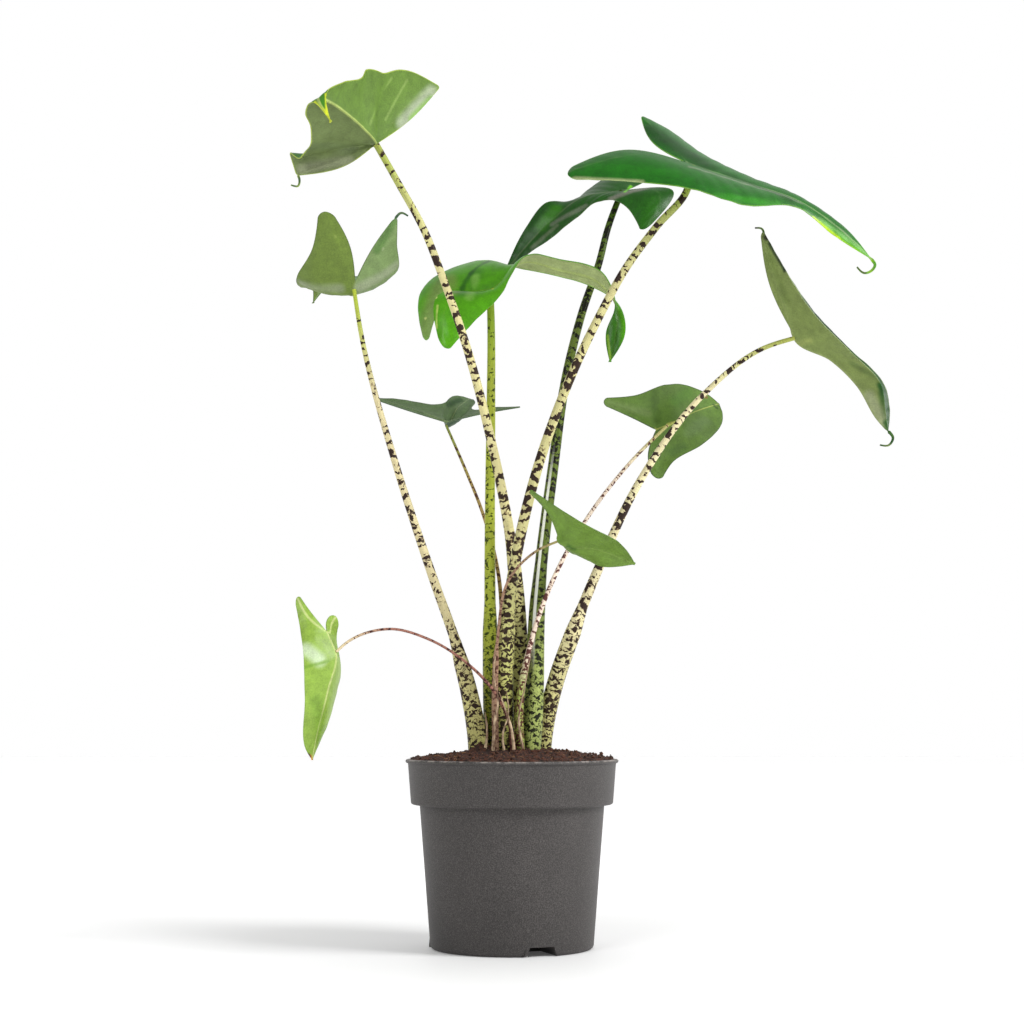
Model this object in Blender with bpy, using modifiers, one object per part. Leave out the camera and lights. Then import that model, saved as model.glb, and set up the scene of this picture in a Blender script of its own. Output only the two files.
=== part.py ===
"""An alocasia zebrina in its grower's pot.

Lengths are in millimetres, with +Z up and the origin under the middle of the pot, until the meshes
are made in metres. A landmark of the plant is where the photographer sees it: pixels across and down
the picture, then millimetres behind the pot's axis. seen() turns it into a place in the model.
"""
import math
from dataclasses import dataclass, field

import bmesh
import bpy
import numpy as np
from mathutils import Vector
from mathutils.bvhtree import BVHTree

# Where the photographer's eye stands, and how large a picture it sees
EYE_DISTANCE = 1629.0
EYE_HEIGHT = 193.5
EYE_TILT = math.radians(5.51)
PIXELS_PER_UNIT_SLOPE = 2000.0
PICTURE_MIDDLE = 512.0

# The pot
POT_HEIGHT = 150.0
LIP_RADIUS = 86.0
LIP_HEIGHT = 3.0
BAND_TOP_RADIUS = 84.0
BAND_BOTTOM_RADIUS = 81.6
BAND_HEIGHT = 36.0
BODY_TOP_RADIUS = 74.4
BASE_RADIUS = 65.6
BASE_CORNER = 3.0
WALL = 1.5
FLOOR = 2.0
POT_STEPS = 48

# The drainage channels under the floor
CHANNEL_ANGLES = (-69.0, 51.0, 171.0)
CHANNEL_WIDTH = 26.0
CHANNEL_TOP_WIDTH = 20.0
CHANNEL_HEIGHT = 7.3
CHANNEL_INNER_END = 30.0
CHANNEL_ROOF = 1.8
CHANNEL_FOOT = 0.8
CUT_PAST = 10.0
DRAIN_RADIUS = 4.0
DRAIN_PLACE = 46.0

# The potting mix
GAP = 0.35
SOIL_EDGE_HEIGHT = 149.7
SOIL_MOUND = 8.0
SOIL_MOUND_RADIUS = 100.0
SOIL_LUMP = 0.8
CLUMPS = ((-25.0, -12.0, 5.0, 8.0), (45.0, -10.0, 1.5, 30.0))
HOLE_RISE = 40.0
SOIL_RINGS = 11
SOIL_SECTORS = 48

# The stalks and the blades
FOOT_HEIGHT = 122.0
STALK_SIDES = 10
STALK_RINGS = 20
STALK_REACH = 3.0
REACH_STEP = 0.1
CUT_BACK_STEP = 0.4
CUT_BACK_TRIES = 40
BLADE_THICKNESS = 1.0
RIB_THICKNESS = 1.9
TIP_HALF_WIDTH = 1.2
ROWS_PER_STATION = 3
REAR_SPACING = 1.6
WEB_SHARE = 0.12
COLUMNS = 4

SHEATH_GROOVE = 0.22
SHEATH_WING = 0.08

EYE = np.array([0.0, -EYE_DISTANCE, EYE_HEIGHT])


def seen(landmark):
    """The place of a landmark given as pixels across, pixels down and millimetres behind the axis."""
    across, down, behind = landmark
    right = (across - PICTURE_MIDDLE) / PIXELS_PER_UNIT_SLOPE
    up = (PICTURE_MIDDLE - down) / PIXELS_PER_UNIT_SLOPE
    forward = math.cos(EYE_TILT) - up * math.sin(EYE_TILT)
    rise = math.sin(EYE_TILT) + up * math.cos(EYE_TILT)
    reach = (behind + EYE_DISTANCE) / forward
    return np.array([right * reach, behind, EYE_HEIGHT + rise * reach])


@dataclass
class Half:
    """One half of an arrowhead blade: its rear lobe, and its margin from beside the joint forwards.

    The lobe ends in a round tip of half-width blunt, and may run on into a thin hook.
    """
    tip: tuple
    inner: tuple
    flank: tuple
    edge: list
    blunt: float = 2.0
    hook: list = field(default_factory=list)


@dataclass
class Stalk:
    """A leaf stalk: its foot in the soil, the route up from there, and its widths."""
    foot: tuple
    route: list
    widths: tuple
    sheath_end: float
    colour: tuple


@dataclass
class Leaf:
    """A leaf: its stalk, the midrib from the joint to the apex, and the blade's two halves.

    The notch between the rear lobes ends at a web behind the joint. faces_us says whether the upper
    face is toward the photographer, and cup how far each half bulges upwards across its width.
    """
    stalk: Stalk
    midrib: list
    left: Half
    right: Half
    faces_us: bool
    colour: tuple
    cup: float = 0.05
    web: float = 4.0
    wave: float = 0.0
    waves: float = 3.0
    tail: list = field(default_factory=list)


CREAM = (0.72, 0.66, 0.38)
YELLOW_GREEN = (0.50, 0.58, 0.16)
DARK_STALK = (0.10, 0.16, 0.04)
PINK_CREAM = (0.58, 0.44, 0.30)
OLIVE = (0.19, 0.30, 0.09)
PALE_OLIVE = (0.24, 0.36, 0.10)
RICH_GREEN = (0.03, 0.20, 0.03)
DARK_GREEN = (0.02, 0.13, 0.02)
FRESH_GREEN = (0.10, 0.36, 0.02)
PALE_GREEN = (0.28, 0.46, 0.10)

LEAVES = {
    1: Leaf(
        Stalk((4.5, 16.5), [(520, 680, 14.5), (514, 565, 3), (490, 436, -19), (469, 355, -33),
                      (444, 281, -44), (424, 230, -51), (396.5, 180, -58)],
              (17, 10.5, 8.4, 5.2), 0.35, CREAM),
        midrib=[(376, 144, -62), (362, 127, -82), (347, 114, -100), (333, 104, -117), (319, 98, -132),
                (331, 122, -144)],
        left=Half((298, 175, -54), (347, 165, -60), (290, 153, -60),
                  [(300, 158, -72), (309, 146, -88), (311, 128, -104), (305, 112, -118), (311, 103, -129)],
                  blunt=1.5,
                  hook=[(299.5, 180, -54), (298, 186, -55), (291, 185, -55)]),
        right=Half((439, 87, -38), (409, 121, -46), (400, 69.5, -66),
                   [(384, 73, -79), (370, 69, -90), (358, 79, -102), (343, 82, -114), (328, 91, -128)],
                   blunt=1.2),
        faces_us=False, colour=OLIVE, wave=1.4, waves=5),
    2: Leaf(
        Stalk((-26.5, 0), [(470, 693, 0), (458.5, 651, 0), (432, 575, -2), (396, 465, -5), (361, 333, -9)],
              (18.5, 13, 8.4, 3.2), 0.23, CREAM),
        midrib=[(354, 289, -10), (343, 277, 36), (323, 282, 70), (313, 303, 84)],
        left=Half((325, 212, -32), (350, 246, -26), (313, 247, -24),
                  [(297, 276, -4), (301, 286, 34), (313, 290, 72)], blunt=5.5),
        right=Half((395, 219, -30), (371, 250, -22), (397, 243, -18),
                   [(399, 266, 0), (368, 276, 42), (329, 285, 74)], hook=[(401, 213, -31), (408, 216, -32)]),
        faces_us=False, colour=PALE_OLIVE, cup=-0.09, wave=1.2, web=7),
    3: Leaf(
        Stalk((-16, 14), [(491, 700, 14), (490, 600, 12), (490, 500, 10), (491, 400, 6), (491, 320, 5)],
              (14, 12, 9.5, 6), 0.30, YELLOW_GREEN),
        midrib=[(490, 290, 2), (523, 262, 6), (560, 270, 12), (598, 282, 4), (616, 305, 0), (616, 334, -4),
                (610, 362, -4)],
        left=Half((444, 347, -22), (440, 294, -6), (474, 322, -16),
                  [(497, 299, -12), (529, 255, -6), (558, 259, 4), (603, 273, -3), (615, 305, -4),
                   (606, 334, -2)], blunt=5.0),
        right=Half((426, 340, 34), (446, 300, 22), (421, 292, 38),
                   [(484, 260, 32), (521, 269, 16), (556, 276, 18), (592, 287, 10), (618, 304, 4),
                    (625, 334, -6)], blunt=3.0),
        faces_us=True, colour=FRESH_GREEN, cup=0.12, wave=0.6, web=14),
    4: Leaf(
        Stalk((15, -3.5), [(533, 716, -3.5), (538, 598, 3), (553, 468, 15), (568, 368, 24), (582, 313, 30),
                       (599, 263, 36), (608, 228, 41)],
              (17.5, 12.2, 10.6, 5), 0.30, DARK_STALK),
        midrib=[(622, 191, 47), (584, 197, 45), (548, 224, 47), (524, 249, 53), (504, 274, 60)],
        left=Half((644.5, 229, 28), (673, 191, 40), (628, 209, 30),
                  [(605, 199, 36), (584, 211, 36), (557, 234, 40), (531, 252, 50)], blunt=4.0),
        right=Half((665, 160, 92), (650, 178, 72), (640, 158, 92),
                   [(608, 174, 72), (574, 200, 58), (545, 204, 53), (523, 233, 54)]),
        faces_us=True, colour=DARK_GREEN, cup=0.06, wave=1.2, waves=5),
    5: Leaf(
        Stalk((-7, -3), [(503, 690, -8), (508, 611, -18), (529, 499, -29), (576, 365, -41), (600, 315, -46),
                         (626, 268, -52), (657, 226, -57), (687, 190, -61)],
              (19, 14.5, 9.5, 5.5), 0.25, CREAM),
        midrib=[(692, 165, -62), (746, 183, -62), (800, 202, -60), (838, 228, -57), (871, 259, -55)],
        left=Half((568, 174.5, -84), (628, 150, -66), (636, 182, -94),
                  [(690, 188, -102), (745, 206, -94), (801, 209, -68), (836, 237, -60)], blunt=7.0),
        right=Half((642, 117, -20), (653, 143, -44), (672, 132, -16),
                   [(706, 156, -22), (748, 179, -30), (802, 198, -45), (843, 226, -50)]),
        faces_us=True, colour=RICH_GREEN, cup=0.10, wave=0.8,
        tail=[(875, 265, -55), (871, 271, -55), (864, 273, -56), (857, 267, -56)]),
    6: Leaf(
        Stalk((24.5, 12), [(556.5, 677, 10), (568.5, 643, 6), (597, 572, 1), (640, 481, -5), (705, 393, -12),
                         (764, 348, -18)],
              (15.4, 14.2, 9, 3.6), 0.33, CREAM),
        midrib=[(795, 338, -20), (832, 360, -22), (858, 386, -24), (877.5, 419, -24), (888, 431, -22)],
        left=Half((762, 233, -40), (769, 283, -34), (782, 264, -48),
                  [(813, 312, -46), (852, 354, -42), (882, 386, -34), (885, 408, -30)]),
        right=Half((764, 236, 0), (777, 290, -6), (782, 266, 8),
                   [(810, 306, 8), (849, 348, 2), (885, 388, -8), (890, 412, -16)],
                   hook=[(762, 229, 0), (755, 228, -1)]),
        faces_us=False, colour=OLIVE, cup=0.05, wave=0.8,
        tail=[(893, 438, -22), (889, 445, -22), (880, 445, -23)]),
    7: Leaf(
        Stalk((6, -13.5), [(519, 712, -13.5), (531.5, 640, -12.5), (549.5, 588, -6), (584, 523, 6), (628, 465, 18)],
              (9, 5.2, 4.2, 2.6), 0.30, PINK_CREAM),
        midrib=[(668, 425, 33), (692, 413, 64), (719, 404, 96)],
        left=Half((604, 401.5, 28), (632, 418, 34), (634, 395.5, 34), [(664, 385, 50), (704, 392, 80)],
                  blunt=3.2),
        right=Half((657, 478, 24), (648, 455, 30), (672, 463, 36), [(703, 444, 54), (723, 417, 84)],
                   blunt=4.5),
        faces_us=False, colour=OLIVE, cup=0.04, wave=0.8, web=11),
    8: Leaf(
        Stalk((-8, 25), [(502, 680, 26), (497, 566, 32), (482, 511, 41), (466, 471, 47)],
              (8, 5, 3.8, 2.2), 0.30, PINK_CREAM),
        midrib=[(446, 425, 55), (457, 409, 86), (470, 399, 116)],
        left=Half((376, 399, 46), (406, 410, 44), (404, 400, 60), [(441, 404, 80), (456, 395.5, 104)]),
        right=Half((520, 407, 58), (482, 414, 52), (488, 408, 68), [(472, 409, 88), (475, 401, 106)],
                   blunt=1.2),
        faces_us=False, colour=OLIVE, cup=0.05, wave=0.6, web=2.5),
    9: Leaf(
        Stalk((-13, -17), [(495, 694, -19), (498, 635, -23), (508, 581.5, -31), (535, 552, -48)],
              (5.6, 4.6, 2.6, 1.9), 0.50, PINK_CREAM),
        midrib=[(559, 541, -60), (598, 549, -60), (635, 564, -50)],
        left=Half((530, 491, -66), (549, 515, -64), (552, 504, -74), [(586, 525, -84), (618, 542, -74)]),
        right=Half((573, 553, -18), (564, 546, -38), (578, 555, -26), [(584, 557, -36), (600, 566, -48)],
                   blunt=3.0),
        faces_us=False, colour=OLIVE, cup=0.04),
    10: Leaf(
        Stalk((1, -20.5), [(508, 719, -23), (495, 693, -27), (463, 660, -33), (429, 639.4, -38),
                           (390.6, 629, -43), (349, 641, -48)],
              (6, 4.4, 3, 2.1), 0.25, PINK_CREAM),
        midrib=[(336, 652, -50), (328, 690, -55), (316, 738, -49), (312, 760, -44)],
        left=Half((297, 598, -42), (310, 611, -46), (300, 627, -50),
                  [(303, 652, -62), (305, 696, -64), (306, 750, -50)], blunt=3.0),
        right=Half((336, 617, -36), (327, 620, -42), (337, 632, -34),
                   [(340, 670, -28), (334, 704, -34), (317, 748, -42)], blunt=4.5),
        faces_us=True, colour=PALE_GREEN, cup=0.05, wave=0.5, web=18),
}


def smooth_curve(points, places):
    """Points on a smooth curve through the given ones, at places counted in control points."""
    points = np.asarray(points, float)
    spans = np.linalg.norm(np.diff(points, axis=0), axis=1)[:, None]
    slopes = np.diff(points, axis=0) / spans
    tangents = np.empty_like(points)
    tangents[1:-1] = (slopes[1:] * spans[:-1] + slopes[:-1] * spans[1:]) / (spans[1:] + spans[:-1])
    tangents[0] = 1.5 * slopes[0] - 0.5 * tangents[1]
    tangents[-1] = 1.5 * slopes[-1] - 0.5 * tangents[-2]
    result = []
    for place in places:
        i = min(int(place), len(points) - 2)
        t, h = place - i, spans[i]
        result.append((1 + 2 * t) * (1 - t) ** 2 * points[i] + t * (1 - t) ** 2 * h * tangents[i]
                      + t * t * (3 - 2 * t) * points[i + 1] - t * t * (1 - t) * h * tangents[i + 1])
    return np.array(result)


def unit(vector):
    return vector / max(np.linalg.norm(vector), 1e-9)


def new_material(name, colour, roughness):
    material = bpy.data.materials.new(name)
    material.use_nodes = True
    shader = material.node_tree.nodes["Principled BSDF"]
    shader.inputs["Base Color"].default_value = (*colour, 1.0)
    shader.inputs["Roughness"].default_value = roughness
    shader.inputs["Metallic"].default_value = 0.0
    return material


def new_object(name, vertices, faces, collection, material=None, edges=()):
    """A mesh object from vertices in millimetres, with faces, or with edges only."""
    mesh = bpy.data.meshes.new(name)
    mesh.from_pydata([tuple(0.001 * c for c in v) for v in vertices], edges, faces)
    mesh.update()
    new = bpy.data.objects.new(name, mesh)
    collection.objects.link(new)
    if material:
        mesh.materials.append(material)
    return new


def as_cutter(cutter):
    cutter.hide_render = True
    cutter.display_type = 'WIRE'
    return cutter


def add_boolean(target, operation, cutter=None, collection=None):
    boolean = target.modifiers.new(operation.title(), 'BOOLEAN')
    boolean.operation = operation
    boolean.solver = 'EXACT'
    if collection:
        boolean.operand_type = 'COLLECTION'
        boolean.collection = collection
    else:
        boolean.object = cutter


def turned(name, profile, collection, material=None):
    """A ring or solid turned from a profile of (radius, height), outer side first, top to bottom."""
    edges = [(i, (i + 1) % len(profile)) for i in range(len(profile))]
    new = new_object(name, [(r, 0.0, z) for r, z in profile], [], collection, material, edges)
    screw = new.modifiers.new("Turn", 'SCREW')
    screw.axis = 'Z'
    screw.steps = POT_STEPS
    screw.render_steps = POT_STEPS
    screw.use_merge_vertices = True
    screw.merge_threshold = 0.00005
    return new


def body_radius(height):
    """The outside of the pot's tapered body at a height."""
    top = POT_HEIGHT - BAND_HEIGHT
    share = min(max((height - BASE_CORNER) / (top - BASE_CORNER), 0.0), 1.0)
    return BASE_RADIUS + (BODY_TOP_RADIUS - BASE_RADIUS) * share


def corner(centre_r, centre_z, radius, start, end, count):
    """Points on a round corner between two angles, in degrees."""
    angles = np.radians(np.linspace(start, end, count))
    return [(centre_r + radius * math.cos(a), centre_z + radius * math.sin(a)) for a in angles]


def inner_band_radius():
    return BAND_TOP_RADIUS - WALL


def pot_profile():
    step_height = POT_HEIGHT - BAND_HEIGHT
    bead = LIP_HEIGHT / 2
    outside = corner(LIP_RADIUS - bead, POT_HEIGHT - bead, bead, 90, -60, 6)
    outside += [(BAND_TOP_RADIUS, POT_HEIGHT - LIP_HEIGHT - 0.6)]
    outside += corner(BAND_BOTTOM_RADIUS - 2, step_height + 2, 2, 0, -90, 4)
    outside += [(body_radius(step_height) + 0.8, step_height), (body_radius(step_height), step_height - 0.9)]
    outside += corner(BASE_RADIUS - BASE_CORNER, BASE_CORNER, BASE_CORNER, 0, -90, 4)
    outside += [(0.0, 0.0)]
    inside = [(0.0, FLOOR), (BASE_RADIUS - BASE_CORNER - 1, FLOOR), (BASE_RADIUS - WALL, FLOOR + 2.5)]
    body, band = BODY_TOP_RADIUS - WALL, BAND_BOTTOM_RADIUS - WALL
    inside += [(body, step_height - 1.0), (body + 0.4, step_height + WALL)]
    inside += [(band - 1.0, step_height + WALL), (band, step_height + 3.0)]
    inside += [(inner_band_radius(), POT_HEIGHT - 2.0), (inner_band_radius() + 0.4, POT_HEIGHT)]
    return outside, inside


def make_channel_block(name, grow, start, end, base, collection):
    """A trapezoid bar along +X, wider at the bottom, that a drainage channel or its roof follows."""
    length = end - start
    bpy.ops.mesh.primitive_cube_add(size=1)
    block = bpy.context.object
    block.name = name
    top = CHANNEL_HEIGHT + grow
    for vertex in block.data.vertices:
        x, y, z = vertex.co
        width = (CHANNEL_TOP_WIDTH if z > 0 else CHANNEL_WIDTH) + 2 * grow
        height = top if z > 0 else base
        vertex.co = (0.001 * (start + length * (x + 0.5)), 0.001 * width * y, 0.001 * height)
    for holder in block.users_collection:
        holder.objects.unlink(block)
    collection.objects.link(block)
    return block


def make_pot(parts, cutters):
    plastic = new_material("pot_plastic", (0.070, 0.068, 0.066), 0.48)
    outside, inside = pot_profile()
    pot = turned("pot", outside + inside, parts, plastic)
    wall_reach = body_radius(CHANNEL_HEIGHT)
    for index, angle in enumerate(CHANNEL_ANGLES):
        turn = math.radians(angle)
        roof = make_channel_block(f"channel_roof_{index}", CHANNEL_ROOF, CHANNEL_INNER_END - CHANNEL_ROOF,
                                  wall_reach - 0.7 * WALL, CHANNEL_FOOT, cutters)
        channel = make_channel_block(f"channel_{index}", 0.0, CHANNEL_INNER_END,
                                     wall_reach + CUT_PAST, -CHANNEL_FOOT, cutters)
        bpy.ops.mesh.primitive_cylinder_add(vertices=16, radius=0.001 * DRAIN_RADIUS, depth=0.02)
        drain = bpy.context.object
        drain.name = f"drain_{index}"
        drain.location = (0.001 * DRAIN_PLACE * math.cos(turn), 0.001 * DRAIN_PLACE * math.sin(turn), 0.012)
        for holder in drain.users_collection:
            holder.objects.unlink(drain)
        cutters.objects.link(drain)
        for block in (roof, channel):
            block.rotation_euler = (0.0, 0.0, turn)
        add_boolean(pot, 'UNION', as_cutter(roof))
        add_boolean(pot, 'DIFFERENCE', as_cutter(channel))
        add_boolean(pot, 'DIFFERENCE', as_cutter(drain))
    return pot


def soil_height(x, y):
    """The lumpy, mounded top of the potting mix."""
    r = math.hypot(x, y)
    mound = SOIL_MOUND * (0.5 + 0.5 * math.cos(math.pi * min(r / SOIL_MOUND_RADIUS, 1.0)))
    lumps = (math.sin(0.31 * x + 0.9) * math.cos(0.27 * y - 0.4) + 0.7 * math.sin(0.17 * x - 0.35 * y + 2.1)
             + 0.6 * math.cos(0.52 * x + 0.44 * y) + 0.5 * math.sin(0.71 * y - 0.38 * x + 0.5))
    height = SOIL_EDGE_HEIGHT + mound + SOIL_LUMP * lumps
    for clump_x, clump_y, rise, radius in CLUMPS:
        height += rise * math.exp(-((x - clump_x) ** 2 + (y - clump_y) ** 2) / radius ** 2)
    return height


def make_soil(parts, cutters, stalks):
    """A turned plug that follows the inside of the pot, with its top ring field raised into lumps."""
    peat = new_material("peat", (0.055, 0.028, 0.018), 0.95)
    step_height = POT_HEIGHT - BAND_HEIGHT
    body, band = BODY_TOP_RADIUS - WALL - GAP, BAND_BOTTOM_RADIUS - WALL - GAP
    ledge = step_height + WALL + GAP
    wall = [(BASE_RADIUS - BASE_CORNER - 3, FLOOR + GAP), (BASE_RADIUS - WALL - GAP, FLOOR + 4.0),
            (body, step_height - 1.5), (body, ledge), (band - 1.2, ledge), (band, step_height + 3.5),
            (inner_band_radius() - GAP - 0.2, SOIL_EDGE_HEIGHT - 4)]
    top = inner_band_radius() - GAP - 0.1
    vertices, faces = [], []
    angles = [2 * math.pi * i / SOIL_SECTORS for i in range(SOIL_SECTORS)]
    for r, z in wall:
        vertices += [(r * math.cos(a), r * math.sin(a), z) for a in angles]
    for ring in range(SOIL_RINGS):
        r = top * (1 - ring / SOIL_RINGS)
        for a in angles:
            x, y = r * math.cos(a), r * math.sin(a)
            vertices.append((x, y, soil_height(x, y)))
    rings = len(wall) + SOIL_RINGS
    for ring in range(rings - 1):
        for i in range(SOIL_SECTORS):
            j = (i + 1) % SOIL_SECTORS
            a, b = ring * SOIL_SECTORS, (ring + 1) * SOIL_SECTORS
            faces.append((a + i, a + j, b + j, b + i))
    bottom, peak = len(vertices), len(vertices) + 1
    vertices += [(0, 0, FLOOR + GAP), (0, 0, soil_height(0, 0))]
    last = (rings - 1) * SOIL_SECTORS
    for i in range(SOIL_SECTORS):
        j = (i + 1) % SOIL_SECTORS
        faces.append((bottom, j, i))
        faces.append((peak, last + i, last + j))
    soil = new_object("soil", vertices, faces, parts, peat)
    for index, angle in enumerate(CHANNEL_ANGLES):
        block = make_channel_block(f"soil_channel_{index}", CHANNEL_ROOF + GAP,
                                   CHANNEL_INNER_END - CHANNEL_ROOF - GAP, BASE_RADIUS + CUT_PAST,
                                   CHANNEL_FOOT, cutters)
        block.rotation_euler = (0.0, 0.0, math.radians(angle))
        add_boolean(soil, 'DIFFERENCE', as_cutter(block))
    holes = bpy.data.collections.new("stalk_holes")
    cutters.children.link(holes)
    for number, (path, leaf) in stalks.items():
        rings = stalk_rings(path, leaf, GAP)[path[:, 2] < SOIL_EDGE_HEIGHT + HOLE_RISE]
        rings[0] -= np.array([0.0, 0.0, GAP])
        vertices, faces = loft(rings)
        as_cutter(new_object(f"hole_{number}", vertices, faces, holes))
    add_boolean(soil, 'DIFFERENCE', collection=holes)
    return soil


def stalk_path(leaf, count):
    """Evenly spaced points up a stalk, from its foot in the soil to the blade's joint."""
    foot_x, foot_y = leaf.stalk.foot
    start = [np.array([foot_x, foot_y, FOOT_HEIGHT]), np.array([foot_x, foot_y, POT_HEIGHT + 8.0])]
    points = start + [seen(p) for p in leaf.stalk.route] + [seen(leaf.midrib[0])]
    dense = smooth_curve(points, np.linspace(0, len(points) - 1, 400))
    run = np.concatenate([[0], np.cumsum(np.linalg.norm(np.diff(dense, axis=0), axis=1))])
    marks = np.linspace(0, run[-1], count)
    return np.column_stack([np.interp(marks, run, dense[:, k]) for k in range(3)])


def stalk_width(leaf, height):
    """The stalk's width at a height: a tapering sheath, then the stalk above it."""
    foot, sheath, above, top = leaf.stalk.widths
    share = (height - POT_HEIGHT) / (seen(leaf.midrib[0])[2] - POT_HEIGHT)
    share = min(max(share, 0.0), 1.0)
    end = leaf.stalk.sheath_end
    low = foot + (sheath - foot) * min(share / end, 1.0)
    high = above + (top - above) * max((share - end) / (1 - end), 0.0)
    blend = min(max((share - end + 0.03) / 0.06, 0.0), 1.0)
    return low + (high - low) * blend, 1.0 - blend


def stalk_rings(path, leaf, grow):
    """Sections along a stalk. Inside the sheath they have a groove on the side that faces the plant."""
    lean = seen(leaf.midrib[0])[:2] - np.array(leaf.stalk.foot)
    side = unit(np.array([-lean[0], -lean[1], 0.0]))
    tangents = np.gradient(path, axis=0)
    rings = []
    for point, tangent in zip(path, tangents):
        tangent = unit(tangent)
        side = unit(side - tangent * (side @ tangent))
        other = np.cross(tangent, side)
        width, sheath = stalk_width(leaf, point[2])
        ring = []
        for i in range(STALK_SIDES):
            a = 2 * math.pi * i / STALK_SIDES
            bend = math.atan2(math.sin(a), math.cos(a))
            groove = SHEATH_GROOVE * max(math.cos(a), 0.0) ** 6
            wing = SHEATH_WING * math.exp(-((abs(bend) - 0.9) / 0.4) ** 2)
            r = 0.5 * width * (1 + sheath * (wing - groove)) + grow
            ring.append(point + r * (math.cos(a) * side + math.sin(a) * other))
        rings.append(ring)
    return np.array(rings)


def loft(rings):
    """Vertices and faces of a tube through the rings, closed at both ends."""
    count, sides = rings.shape[:2]
    vertices = [tuple(p) for ring in rings for p in ring]
    faces = []
    for i in range(count - 1):
        for j in range(sides):
            k = (j + 1) % sides
            faces.append((i * sides + j, i * sides + k, (i + 1) * sides + k, (i + 1) * sides + j))
    vertices += [tuple(rings[0].mean(0)), tuple(rings[-1].mean(0))]
    bottom, top = len(vertices) - 2, len(vertices) - 1
    last = (count - 1) * sides
    for j in range(sides):
        k = (j + 1) % sides
        faces.append((bottom, k, j))
        faces.append((top, last + j, last + k))
    return vertices, faces


def thin_rows(points, start, across, widths):
    """A ribbon that runs on from a blade's end: its middle line and its half-width vectors."""
    places = np.linspace(0, len(points), 2 * len(points) + 1)
    line = smooth_curve([start] + [seen(p) for p in points], places[1:])
    tangents = np.gradient(np.vstack([start, line]), axis=0)[1:]
    vectors = []
    for point, tangent, width in zip(line, tangents, np.linspace(*widths, len(line))):
        sideways = unit(np.cross(tangent, EYE - point))
        across = sideways if sideways @ across > 0 else -sideways
        vectors.append(width * across)
    return line, np.array(vectors)


def half_rows(leaf, half, other, rows_per_station, columns):
    """Rows of points across one half of a blade, from its rear lobe's tip to the apex."""
    midrib = [seen(p) for p in leaf.midrib]
    tip, inner, flank = seen(half.tip), seen(half.inner), seen(half.flank)
    lobe_across = unit(flank - inner)
    margin = [tip + half.blunt * lobe_across, flank] + [seen(p) for p in half.edge] + [midrib[-1]]
    joint_row = 2 * rows_per_station + 1
    rear = 2 * np.linspace(0, 1, joint_row + 1) ** REAR_SPACING
    backward = unit(unit(inner - midrib[0]) + unit(seen(other.inner) - midrib[0]))
    notch = midrib[0] + leaf.web * backward
    front = np.linspace(0, len(midrib) - 1, (len(midrib) - 1) * rows_per_station + 1)
    beside = 2 + np.concatenate([[0], np.interp(front, [0, 1, 99], [WEB_SHARE, 1, 99])])
    spine = np.vstack([smooth_curve([tip - half.blunt * lobe_across, inner, notch], rear)[:-1],
                       smooth_curve([notch] + midrib, np.concatenate([[0], 1 + front]))])
    outer = smooth_curve(margin, np.concatenate([rear[:-1], beside]))
    cap = half.blunt / np.linalg.norm(inner - tip)
    for i, place in enumerate(rear[:-1]):
        middle, reach = 0.5 * (spine[i] + outer[i]), 0.5 * (outer[i] - spine[i])
        roundness = math.sqrt(1 - (1 - min(place / cap, 1.0)) ** 2)
        reach = unit(reach) * max(np.linalg.norm(reach) * roundness, 0.5 * TIP_HALF_WIDTH)
        spine[i], outer[i] = middle - reach, middle + reach
    own, opposite = seen(half.edge[-1]) - midrib[-2], seen(other.edge[-1]) - midrib[-2]
    apex_across = unit(unit(own) - unit(opposite))
    outer[-1] = spine[-1] + TIP_HALF_WIDTH * apex_across
    if half.hook:
        line, vectors = thin_rows(half.hook, tip, lobe_across, (1.0, 0.6))
        spine = np.vstack([(line - vectors)[::-1], spine])
        outer = np.vstack([(line + vectors)[::-1], outer])
        joint_row += len(line)
    if leaf.tail:
        line, vectors = thin_rows(leaf.tail, midrib[-1], apex_across, (TIP_HALF_WIDTH, 0.5 * TIP_HALF_WIDTH))
        spine, outer = np.vstack([spine, line]), np.vstack([outer, line + vectors])
    along = np.gradient(0.5 * (spine + outer), axis=0)
    normals = np.array([unit(np.cross(a, o - s)) for a, o, s in zip(along, outer, spine)])
    toward_eye = normals[joint_row] @ unit(EYE - midrib[0])
    if (toward_eye > 0) != leaf.faces_us:
        normals = -normals
    share = np.linspace(0, 1, columns + 1)[:, None]
    rows = []
    for i in range(len(spine)):
        width = np.linalg.norm(outer[i] - spine[i])
        place = i / (len(spine) - 1)
        swing = leaf.wave * math.sin(math.pi * place) * math.sin(2 * math.pi * leaf.waves * place)
        swing *= min(width / 20.0, 1.0)
        lift = leaf.cup * width * 4 * share * (1 - share) + swing * share ** 2
        rows.append(spine[i] + (outer[i] - spine[i]) * share + normals[i] * lift)
    return np.array(rows), joint_row


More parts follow.
